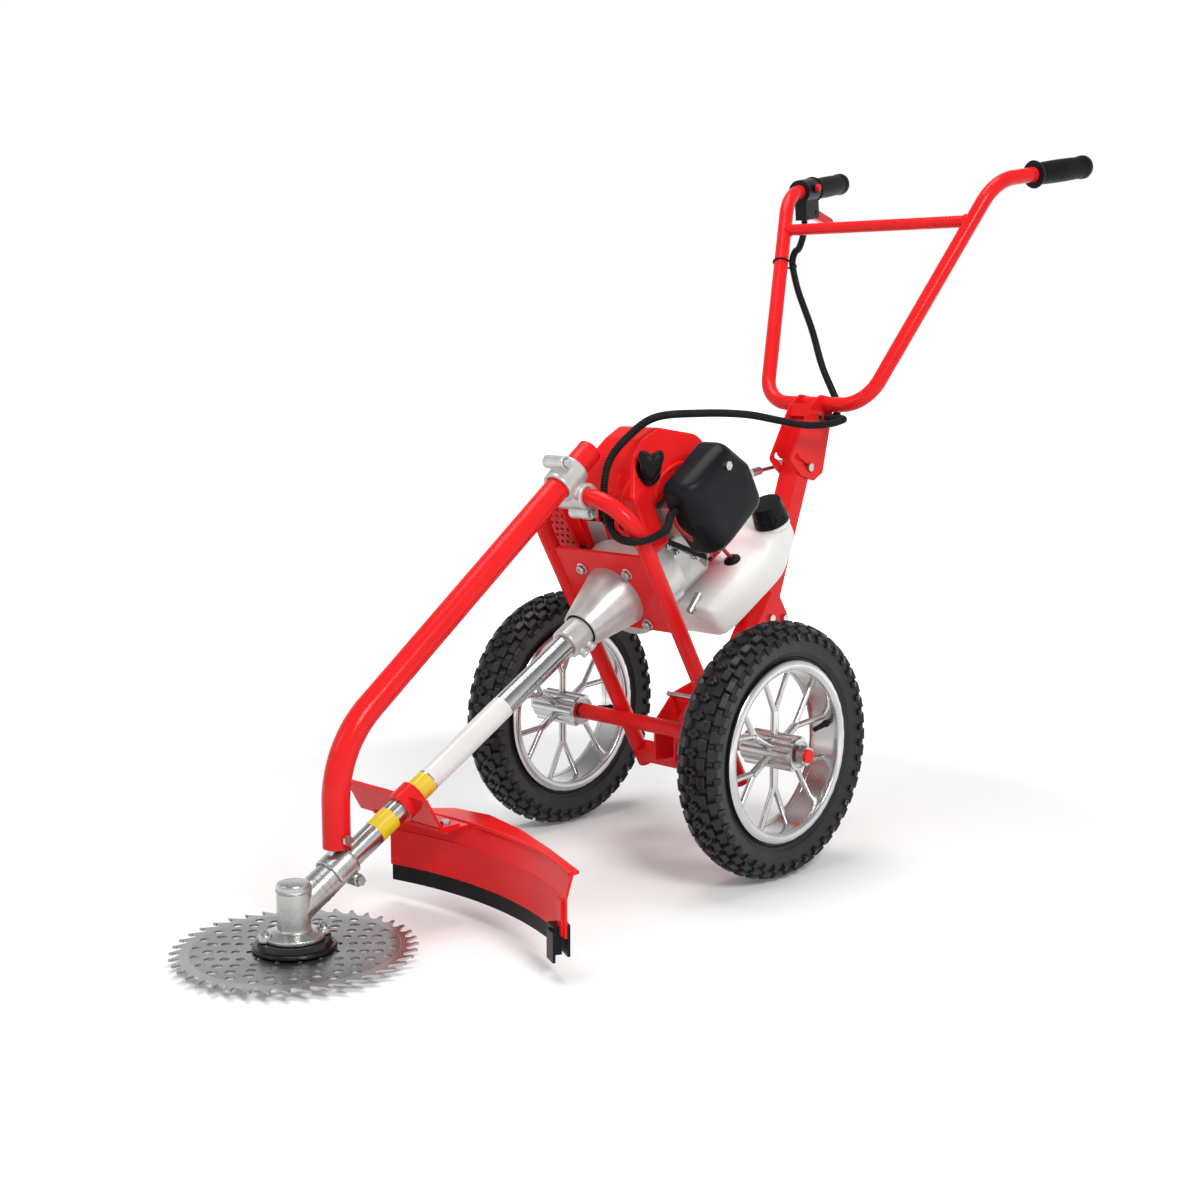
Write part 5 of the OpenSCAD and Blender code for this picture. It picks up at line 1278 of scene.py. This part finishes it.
@dataclass
class EngineDetails:
    """Plug boot, ridges, skirt, plain plate, grommet, hose and leads round the engine."""

    boot_at: Point = (57.5, 76.5, 139.5)
    boot_side: Point = (0.721, 0.599, -0.346)
    boot_up: Point = (-0.102, 0.586, 0.801)
    boot_reach: tuple[Pair, ...] = (
        (0.0, 12.0), (40.0, 20.0), (95.0, 13.0), (140.0, 14.5), (180.0, 21.0),
    )
    boot_layers: tuple[Pair, ...] = (
        (-16.0, 0.62), (-10.0, 0.78), (-5.0, 0.92), (-1.0, 0.99), (2.0, 1.0), (5.0, 0.96), (7.5, 0.86),
        (9.4, 0.7), (10.5, 0.5), (11.0, 0.2),
    )
    boot_sides: int = 64
    ridge: float = 2.6
    ridges: tuple[tuple[Point, ...], ...] = (
        ((23, 56, 137), (22, 50, 132.5), (20.5, 44.5, 127), (19, 39, 121), (18, 35, 112)),
        ((40, 52, 133), (38, 46, 128.5), (35.5, 40, 123), (33, 35.5, 117), (31.5, 32.5, 108)),
        (
            (54, 68, 96), (54, 72, 106), (54, 80, 112), (54, 92, 114.5), (54, 106, 114.5), (54, 120, 111.5),
            (54, 132, 105),
        ),
    )
    plate_at: Point = (-23.0, 29.0, 68.0)
    plate_size: Point = (26.0, 1.0, 31.0)
    plate_lean: float = -5.0
    skirt_at: Point = (-57.0, 28.0, 79.0)
    skirt_size: Point = (24.0, 4.0, 64.0)
    grommet_at: Point = (40.0, 160.0, -60.0)
    grommet_outline: tuple[Pair, ...] = (
        (0, -2), (10.5, -2), (11, 1.5), (10, 4), (6.5, 5), (4.6, 7.5), (0, 7.5),
    )
    hose_radius: float = 2.6
    hose: tuple[Point, ...] = (
        (40, 160, -54), (42, 154, -44), (48, 144, -28), (56, 132, -10), (62, 120, 6), (64, 110, 20),
        (64, 104, 34),
    )
    cable_radius: float = 3.2
    cable: tuple[Point, ...] = ((46, 64, 38), (45, 72, 29), (45, 92, 6), (46, 112, -18), (47, 120, -28))
    lead_radius: float = 1.1
    leads: tuple[tuple[Point, ...], ...] = (
        ((88, 53.6, 84), (88, 52.5, 76), (90, 53.5, 66), (95, 54.4, 58), (101, 55, 54)),
        ((84, 54.2, 82), (85, 53.2, 74), (88, 54, 62), (94, 54.8, 54), (99, 56, 49)),
    )

    def build(self) -> None:
        """Makes every piece."""
        self.boot()
        self.plate()
        self.skirt()
        self.grommet()
        engine_hose("fuel_hose", RED_WIRE, self.hose, self.hose_radius)
        engine_hose("stop_cable", BLACK_RUBBER, self.cable, self.cable_radius)
        for i, ridge in enumerate(self.ridges):
            engine_hose(f"shroud_ridge_{i}", RED_PLASTIC, ridge, self.ridge)
        for i, lead in enumerate(self.leads):
            engine_hose(f"red_lead_{i}", RED_WIRE, lead, self.lead_radius)

    def boot(self) -> None:
        """Heart-shaped rubber boot over the spark plug's end."""
        side, up = Vector(self.boot_side), Vector(self.boot_up)
        facing = side.cross(up)
        rings = []
        for out, share in self.boot_layers:
            ring = []
            for k in range(self.boot_sides):
                a = math.tau * k / self.boot_sides
                reach = share * self.boot_outline(abs(math.degrees(math.remainder(a, math.tau))))
                spot = Vector(self.boot_at) + facing * out
                spot += side * (reach * math.sin(a)) + up * (reach * math.cos(a))
                ring.append(LAYOUT.in_engine(tuple(spot)))
            rings.append(ring)
        dress(lofted("plug_boot", rings), BLACK_RUBBER, Body.FRAME, crease=70.0)

    def boot_outline(self, angle: float) -> float:
        """Reach of the boot's outline.

        Args:
            angle: Degrees from the notch between the lobes, 0 to 180.

        Returns:
            Reach in millimetres.
        """
        for (a, low), (b, high) in zip(self.boot_reach, self.boot_reach[1:]):
            if angle <= b:
                ease = (1 - math.cos(math.pi * (angle - a) / (b - a))) / 2
                return low + (high - low) * ease
        return self.boot_reach[-1][1]

    def plate(self) -> None:
        """Plain grey plate on the shroud's front."""
        mesh = block(self.plate_size, 0.4)
        lean = Matrix.Rotation(math.radians(self.plate_lean), 4, "X")
        mesh.transform(LAYOUT.engine_at(self.plate_at) @ lean)
        dress(new_object("plain_plate", mesh), GREY_PLATE, Body.FRAME)

    def skirt(self) -> None:
        """Lip of the shroud that closes the gap to the muffler guard."""
        mesh = block(self.skirt_size, 1.6)
        mesh.transform(LAYOUT.engine_at(self.skirt_at))
        dress(new_object("shroud_skirt", mesh), RED_PLASTIC, Body.FRAME)

    def grommet(self) -> None:
        """Rubber grommet in the tank's top."""
        at = LAYOUT.engine_at(self.grommet_at)
        dress(turned("fuel_grommet", self.grommet_outline, at, steps=40), BLACK_RUBBER, Body.FRAME)


@dataclass
class GearHeadDetails:
    """Cap, parting beads and flange ears of the gear head."""

    barrel: float = 17.5
    top: float = 81.6
    neck: float = 17.0
    neck_beads: tuple[float, ...] = (36.0, 43.0, 64.0)
    ear_reach: float = 31.0
    ear_turn: float = 70.0
    flange_low: float = 24.0
    flange_high: float = 31.0
    ear: float = 7.4
    screw: Pair = (3.6, 2.4)
    ring_rim: tuple[Pair, ...] = (
        (40, 13.2), (43.2, 13.2), (44, 14.2), (44, 15.6), (43.2, 16.6), (42, 17), (40, 17),
    )
    bead: tuple[Pair, ...] = ((-1.0, -1.2), (0.5, -0.5), (0.5, 0.5), (-1.0, 1.2))

    def build(self) -> None:
        """Makes the cap, the beads and the ears with their screws."""
        r, z = self.barrel, self.top
        cap = [
            (0, z - 9), (r + 0.5, z - 9), (r + 0.9, z - 8), (r + 0.9, z - 7), (r - 0.4, z - 6.2),
            (r - 0.2, z - 1.4), (r - 1.4, z + 0.2), (r - 3, z + 0.5), (r - 4, z + 0.9), (0, z + 1.0),
        ]
        upright = Matrix.Identity(4)
        rim = turned("boss_ring_rim", self.ring_rim, upright, steps=72, closed=True)
        dress(rim, GLOSS_BLACK, Body.FRAME)
        dress(turned("gear_head_cap", cap, upright, steps=64), HEAD_ALLOY, Body.FRAME)
        for i, s in enumerate(self.neck_beads):
            bead = [(self.neck + out, s + along) for out, along in self.bead]
            ring = turned(f"neck_bead_{i}", bead, LAYOUT.along_shaft(), steps=64, closed=True)
            dress(ring, HEAD_ALLOY, Body.FRAME)
        self.ears()

    def ears(self) -> None:
        """Two rounded ears on the base flange with a screw in each."""
        spots = []
        for i, sign in enumerate((1, -1)):
            a = math.radians(self.ear_turn)
            at = Matrix.Translation(Vector((math.cos(a), math.sin(a), 0)) * sign * self.ear_reach * MM)
            low, high = self.flange_low, self.flange_high
            profile = [(0, low), (self.ear, low), (self.ear, high - 1), (self.ear - 0.8, high), (0, high)]
            dress(turned(f"flange_ear_{i}", profile, at, steps=32), HEAD_ALLOY, Body.FRAME)
            spots.append((at @ Vector((0, 0, high * MM)), Axis.Z.value))
        screws_at("flange_screws", spots, *self.screw)


def screws_at(name: str, spots: Sequence[tuple[Vector, Vector]], radius: float,
              height: float) -> None:
    """Socket-headed screws with washers on several spots of the frame.

    Args:
        name: Name of the piece.
        spots: Place and outward axis of each screw.
        radius: Radius of the head in millimetres.
        height: Height of the head in millimetres.
    """
    r, h = radius, height
    outline = [
        (0, -0.6), (1.3 * r, -0.6), (1.3 * r, 0.6), (1.2 * r, 0.9), (r, 0.9), (r, h + 0.5), (r - 0.5, h + 1),
        (0.55 * r, h + 1), (0.5 * r, h * 0.5), (0, h * 0.5),
    ]
    head = turned("screw_shape", outline, Matrix.Identity(4), steps=24)
    mesh = mesh_from(name, [place for place, _ in spots])
    axes = mesh.attributes.new("axis", "FLOAT_VECTOR", "POINT")
    for item, (_, axis) in zip(axes.data, spots):
        item.vector = axis
    obj = new_object(name, mesh)
    Trees.SPOTS.value.bake(obj, {"Shape": head, "Material": PALETTE.of(ZINC)})
    bpy.data.objects.remove(head)
    shade(obj, crease=35.0)
    carry(obj, Body.FRAME)


@dataclass
class PlateScrews:
    """Screws with washers that hold the engine to its plate."""

    spread: float = 37.0
    face: float = -4.0
    screw: Pair = (5.6, 4.2)

    def build(self) -> None:
        """Makes the four screws."""
        axis = LAYOUT.engine().to_3x3() @ -Axis.Y.value
        corners = [(x * self.spread, self.face, z * self.spread) for x in (1, -1) for z in (1, -1)]
        screws_at("plate_screws", [(LAYOUT.in_engine(c), axis) for c in corners], *self.screw)


@dataclass
class StarterRope:
    """Rope from the starter reel to the starter grip, as one straight piece."""

    inner: Point = (-24.0, 142.0, 20.0)
    outer: Point = (-60.0, 142.0, 20.0)
    radius: float = 1.8
    steps: int = 24
    sides: int = 12

    def build(self) -> None:
        """Makes the rope as one straight piece between its two ends."""
        low, high = Vector(self.inner), Vector(self.outer)
        rings = []
        for k in range(self.steps + 1):
            at = low.lerp(high, k / self.steps)
            turns = [math.tau * j / self.sides for j in range(self.sides)]
            rim = [Vector((0, math.cos(a), math.sin(a))) * self.radius for a in turns]
            rings.append([LAYOUT.in_engine(tuple(at + p)) for p in rim])
        obj = lofted("starter_rope", rings)
        obj.data.materials.append(PALETTE.of(BLACK_RUBBER))
        shade(obj, crease=50.0)
        tuple(LAYOUT.in_engine(self.inner))
        tuple(LAYOUT.in_engine(self.outer))
        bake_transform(obj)
        LOG.info("%s spans frame and grip with %d faces", obj.name, len(obj.data.polygons))


@dataclass
class CrankcaseDetails:
    """Screws on the crankcase's near side and the stud beside the tank."""

    face: float = 40.0
    screws: tuple[Pair, ...] = ((76.0, 13.0), (66.0, 30.0), (104.0, -14.0))
    screw: Pair = (3.4, 5.0)
    stud: tuple[Point, ...] = ((46.0, 57.0, -63.0), (46.4, 65.0, -59.5), (47.0, 81.0, -53.0))
    stud_radius: float = 5.0

    def build(self) -> None:
        """Makes the screws and the stud."""
        spots = [(LAYOUT.in_engine((self.face, y, z)), Axis.X.value) for y, z in self.screws]
        screws_at("crankcase_screws", spots, *self.screw)
        engine_hose("tank_stud", ZINC, self.stud, self.stud_radius)


@dataclass
class GuardDetails:
    """Moulded edge, crease and end flange of the guard."""

    centre: Pair = (30.0, -247.0)
    radius: float = 450.0
    first: float = 61.6
    last: float = 103.0
    crease: float = 84.0
    crease_back: float = 7.0
    top: float = 110.0
    low: float = 45.0
    flange: Point = (5.0, 14.0, 38.0)
    flange_inset: float = 0.9
    edge_radius: float = 2.2
    crease_radius: float = 1.5
    steps: int = 24

    def build(self) -> None:
        """Makes the edge, the crease and the flange."""
        edge, crease = self.arc(self.crease_back, self.top - 1.2), self.arc(0.6, self.crease)
        Hose("guard_edge", Body.FRAME, RED_PLASTIC, edge, self.edge_radius).build()
        Hose("guard_crease", Body.FRAME, RED_PLASTIC, crease, self.crease_radius).build()
        mesh = block(self.flange, 1.2)
        angle = self.first + self.flange_inset
        at = self.point(angle, -0.6, self.low + self.flange[2] / 2)
        mesh.transform(Matrix.Translation(at) @ Matrix.Rotation(math.radians(angle), 4, "Z"))
        dress(new_object("guard_flange", mesh), RED_PLASTIC, Body.FRAME)

    def point(self, angle: float, back: float, z: float) -> Vector:
        """Point on the guard's wall.

        Args:
            angle: Angle round the guard's centre in degrees.
            back: Distance behind the wall's front face in millimetres.
            z: Height in millimetres.

        Returns:
            The point in metres.
        """
        a = math.radians(angle)
        r = self.radius + back
        return Vector((self.centre[0] + r * math.cos(a), self.centre[1] + r * math.sin(a), z)) * MM

    def arc(self, back: float, z: float) -> list[Vector]:
        """Points along the guard, at a distance behind its front face and a height in millimetres."""
        span = self.last - self.first
        return [self.point(self.first + span * k / self.steps, back, z) for k in range(self.steps + 1)]


@dataclass
class HandleDetails:
    """Cable tie on the right leg and weld beads at the crossbar."""

    tie_share: float = 0.661
    tie_cord: Point = (-134.0, 134.0, 210.0)
    bar: float = 11.0
    cord: float = 6.0
    crossbar_at: Point = (154.8, 141.7, 256.0)
    crossbar: float = 8.0
    beads: int = 18
    bead: float = 2.0
    bead_inset: float = 0.3
    bead_along: float = -9.6
    tie: float = 1.3
    tie_steps: tuple[int, int] = (24, 12)
    lock: Point = (6.0, 5.0, 7.0)
    lock_lift: float = 1.5

    def build(self) -> None:
        """Makes the tie and both welds."""
        self.band()
        for sign in (1, -1):
            self.weld("left" if sign > 0 else "right", sign)

    def band(self) -> None:
        """Band round the bar and the conduit, with its lock block."""
        low, high = LAYOUT.about_pivot(LAYOUT.right_corner), LAYOUT.about_pivot(LAYOUT.right_shoulder)
        along = (high - low).normalized()
        centre = low.lerp(high, self.tie_share)
        aside = LAYOUT.about_pivot(self.tie_cord) - centre
        aside -= along * aside.dot(along)
        apart = aside.length
        first = aside.normalized()
        second = along.cross(first)
        open_angle = math.acos((self.bar - self.cord) * MM / apart)
        far, near = self.tie_steps
        path = []
        for k in range(far + 1):
            a = open_angle + (math.tau - 2 * open_angle) * k / far
            path.append(centre + (first * math.cos(a) + second * math.sin(a)) * self.bar * MM)
        for k in range(near + 1):
            a = -open_angle + 2 * open_angle * k / near
            path.append(centre + aside + (first * math.cos(a) + second * math.sin(a)) * self.cord * MM)
        path.append(path[0])
        Hose("cable_tie", Body.HANDLE, BLACK_PLASTIC, path, self.tie).build()
        lock = block(self.lock, 0.6)
        turn = Matrix((second, first, along)).transposed().to_4x4()
        lock.transform(Matrix.Translation(centre + second * (self.bar + self.lock_lift) * MM) @ turn)
        dress(new_object("cable_tie_lock", lock), BLACK_PLASTIC, Body.HANDLE)

    def weld(self, side: str, sign: int) -> None:
        """Ring of weld beads where the crossbar meets the handlebar.

        Args:
            side: Name of the side.
            sign: 1 on the left and -1 on the right.
        """
        shape = bmesh.new()
        bmesh.ops.create_uvsphere(shape, u_segments=10, v_segments=7, radius=self.bead * MM)
        mesh = bpy.data.meshes.new("bead")
        shape.to_mesh(mesh)
        shape.free()
        obj = new_object(f"crossbar_weld_{side}", mesh)
        on_ring(obj, RED_PAINT, self.beads, self.crossbar - self.bead_inset, self.bead_along)
        x, y, z = self.crossbar_at
        turn = Matrix.Rotation(sign * math.pi / 2, 4, "Y")
        obj.data.transform(Matrix.Translation(LAYOUT.about_pivot((sign * x, y, z))) @ turn)
        obj.data.shade_smooth()
        carry(obj, Body.HANDLE)


@dataclass
class ShaftWrap:
    """Plain film bands on the shaft tube."""

    tube: float = 13.5
    film: float = 0.18
    white: Pair = (212.0, 342.0)
    yellow: tuple[Pair, ...] = ((124.0, 150.0), (186.0, 210.0))

    def band(self, name: str, span: Pair, finish: Finish) -> None:
        """One band of film.

        Args:
            name: Name of the piece.
            span: Start and end along the shaft.
            finish: Its finish.
        """
        r, t = self.tube, self.film
        profile = [(r + 0.02, span[0]), (r + t, span[0] + 0.1), (r + t, span[1] - 0.1), (r + 0.02, span[1])]
        dress(turned(name, profile, LAYOUT.along_shaft(), steps=64, closed=True), finish, Body.FRAME)

    def build(self) -> None:
        """Makes the white band and both yellow ones."""
        self.band("shaft_band_white", self.white, WRAP_WHITE)
        for i, span in enumerate(self.yellow):
            self.band(f"shaft_band_yellow_{i}", span, WRAP_YELLOW)


@dataclass(frozen=True)
class Rounded:
    """Cast or moulded node whose edges are rounded on a copy of its mesh."""

    node: str
    finish: Finish
    voxel: float
    passes: int

    def build(self) -> None:
        """Copies, merges, remeshes and smooths the node, and lets the copy stand for it."""
        obj = new_object(f"{self.node}_rounded", frame["nodes"][self.node].data.copy())
        fixed_normals(obj.data)
        grid = obj.modifiers.new("grid", "REMESH")
        grid.mode = "VOXEL"
        grid.voxel_size = self.voxel * MM
        soft = obj.modifiers.new("soft", "SMOOTH")
        soft.factor = 0.5
        soft.iterations = self.passes
        bake_modifiers(obj)
        dress(obj, self.finish, Body.FRAME, crease=80.0)
        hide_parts(self.node)


@dataclass
class Castings:
    """Nodes that are shown with rounded edges."""

    pieces: tuple[Rounded, ...] = (
        Rounded("engine_shroud", RED_PLASTIC, voxel=1.25, passes=60),
        Rounded("gear_head", HEAD_ALLOY, voxel=0.9, passes=10),
        Rounded("boom_clamp", CAST_ALLOY, voxel=0.9, passes=10),
        Rounded("boom_saddle", HEAD_ALLOY, voxel=0.9, passes=8),
        Rounded("tube_collar", CAST_ALLOY, voxel=0.8, passes=6),
    )

    def build(self) -> None:
        """Makes each rounded piece."""
        for piece in self.pieces:
            piece.build()


@dataclass(frozen=True)
class Lamp:
    """Soft square lamp: where it hangs and points, its side in metres and its power in watts."""

    name: str
    place: Point
    target: Point
    side: float
    power: float

    def build(self) -> None:
        """Hangs the lamp."""
        data = bpy.data.lights.new(self.name, "AREA")
        data.size = self.side
        data.energy = self.power
        aimed(self.name, data, self.place, self.target)


def aimed(name: str, data: ID, place: Point, target: Point) -> Object:
    """Sets a lamp or a camera in the scene and points it.

    Args:
        name: Name of the object.
        data: Lamp or camera data.
        place: Where it stands.
        target: Where it points.

    Returns:
        The object.
    """
    obj = bpy.data.objects.new(name, data)
    obj.location = place
    obj.rotation_euler = (Vector(target) - Vector(place)).to_track_quat("-Z", "Y").to_euler()
    bpy.context.scene.collection.objects.link(obj)
    return obj


@dataclass
class Studio:
    """Camera, lamps, floor and surroundings of the photograph."""

    eye: Point = (1.4455, -1.0509, 0.6388)
    target: Point = (0.1307, 0.3192, 0.3543)
    lens: float = 53.21
    sensor: float = 36.0
    sight: float = 200.0
    floor_half: float = 30.0
    ambient: float = 0.33
    overhead: float = 0.25
    overhead_from: Pair = (0.22, 0.75)
    near: float = 0.1
    far: float = 1.0
    shadow_reach: Pair = (0.7, 1.5)
    middle: Point = (0.0, 0.45, 0.0)
    lamps: tuple[Lamp, ...] = (
        Lamp("key", (2.3, -0.5, 2.2), (0.0, 0.4, 0.35), 0.9, 52.0),
        Lamp("front", (-1.0, -2.1, 1.9), (0.0, 0.3, 0.25), 1.0, 8.0),
        Lamp("top", (-0.4, 0.6, 3.2), (0.0, 0.45, 0.3), 1.8, 52.0),
    )

    def build(self) -> None:
        """Makes everything that isn't part of the object."""
        scene = bpy.context.scene
        scene.view_settings.view_transform = "Standard"
        self.camera(scene)
        self.surroundings(scene)
        self.floor()
        for lamp in self.lamps:
            lamp.build()

    def camera(self, scene: Scene) -> None:
        """Camera at the photograph's viewpoint."""
        data = bpy.data.cameras.new("viewpoint")
        data.lens = self.lens
        data.sensor_width = self.sensor
        data.clip_end = self.sight
        scene.camera = aimed("viewpoint", data, self.eye, self.target)

    def surroundings(self, scene: Scene) -> None:
        """White world for what is seen or mirrored, darker overhead, and a gentler one for light."""
        world = bpy.data.worlds.new("studio")
        world.use_nodes = True
        nodes = Nodes(world.node_tree)
        path = nodes.add("ShaderNodeLightPath")
        seen = path.outputs["Is Camera Ray"]
        for name in ("Is Glossy Ray", "Is Transmission Ray"):
            seen = nodes.math("MAXIMUM", seen, path.outputs[name])
        split = nodes.add("ShaderNodeSeparateXYZ", {0: nodes.add("ShaderNodeTexCoord").outputs["Generated"]})
        fall = nodes.ranged(split.outputs["Z"], 1.0, self.overhead, *self.overhead_from)
        white = (1.0, 1.0, 1.0, 1.0)
        lit, shown = (
            nodes.add("ShaderNodeBackground", {"Color": white, "Strength": strength}).outputs[0]
            for strength in (self.ambient, fall)
        )
        mix = nodes.add("ShaderNodeMixShader", {0: seen, 1: lit, 2: shown})
        nodes.add("ShaderNodeOutputWorld", {"Surface": mix.outputs[0]})
        scene.world = world

    def floor(self) -> None:
        """Pale floor that keeps the object's shadow."""
        h = self.floor_half
        mesh = mesh_from("floor", [(-h, -h, 0), (h, -h, 0), (h, h, 0), (-h, h, 0)], [(0, 1, 2, 3)])
        obj = new_object("floor", mesh)
        shader = Shader("pale_floor")
        shader.set(base_color=(0.9, 0.9, 0.9), roughness=0.7, specular_ior_level=0.2)
        shader.set(emission_color=(1.0, 1.0, 1.0))
        path = shader.add("ShaderNodeLightPath")
        seen = shader.math("MAXIMUM", path.outputs["Is Camera Ray"], path.outputs["Is Glossy Ray"])
        centred = shader.placed((1.0, 1.0, 1.0), self.middle)
        away = shader.add("ShaderNodeVectorMath", {0: centred}, operation="LENGTH")
        fade = shader.ranged(away.outputs["Value"], self.near, self.far, *self.shadow_reach)
        shader.feed("Emission Strength", shader.math("MULTIPLY", seen, fade))
        mesh.materials.append(shader.material)


def main() -> None:
    """Builds the studio and every sub-assembly in order."""
    logging.basicConfig(level=logging.INFO, format="%(name)s: %(message)s")
    PALETTE.dress_nodes()
    assemblies = [
        Studio(), Castings(), Conduits(), Wheel(1), Wheel(-1), Blade(), Grips(), FilterCover(), Tank(),
        EngineDetails(), StarterRope(), CrankcaseDetails(), GearHeadDetails(), PlateScrews(), GuardDetails(),
        HandleDetails(), ShaftWrap(),
    ]
    for assembly in assemblies:
        assembly.build()


if __name__ == "__main__":
    main()
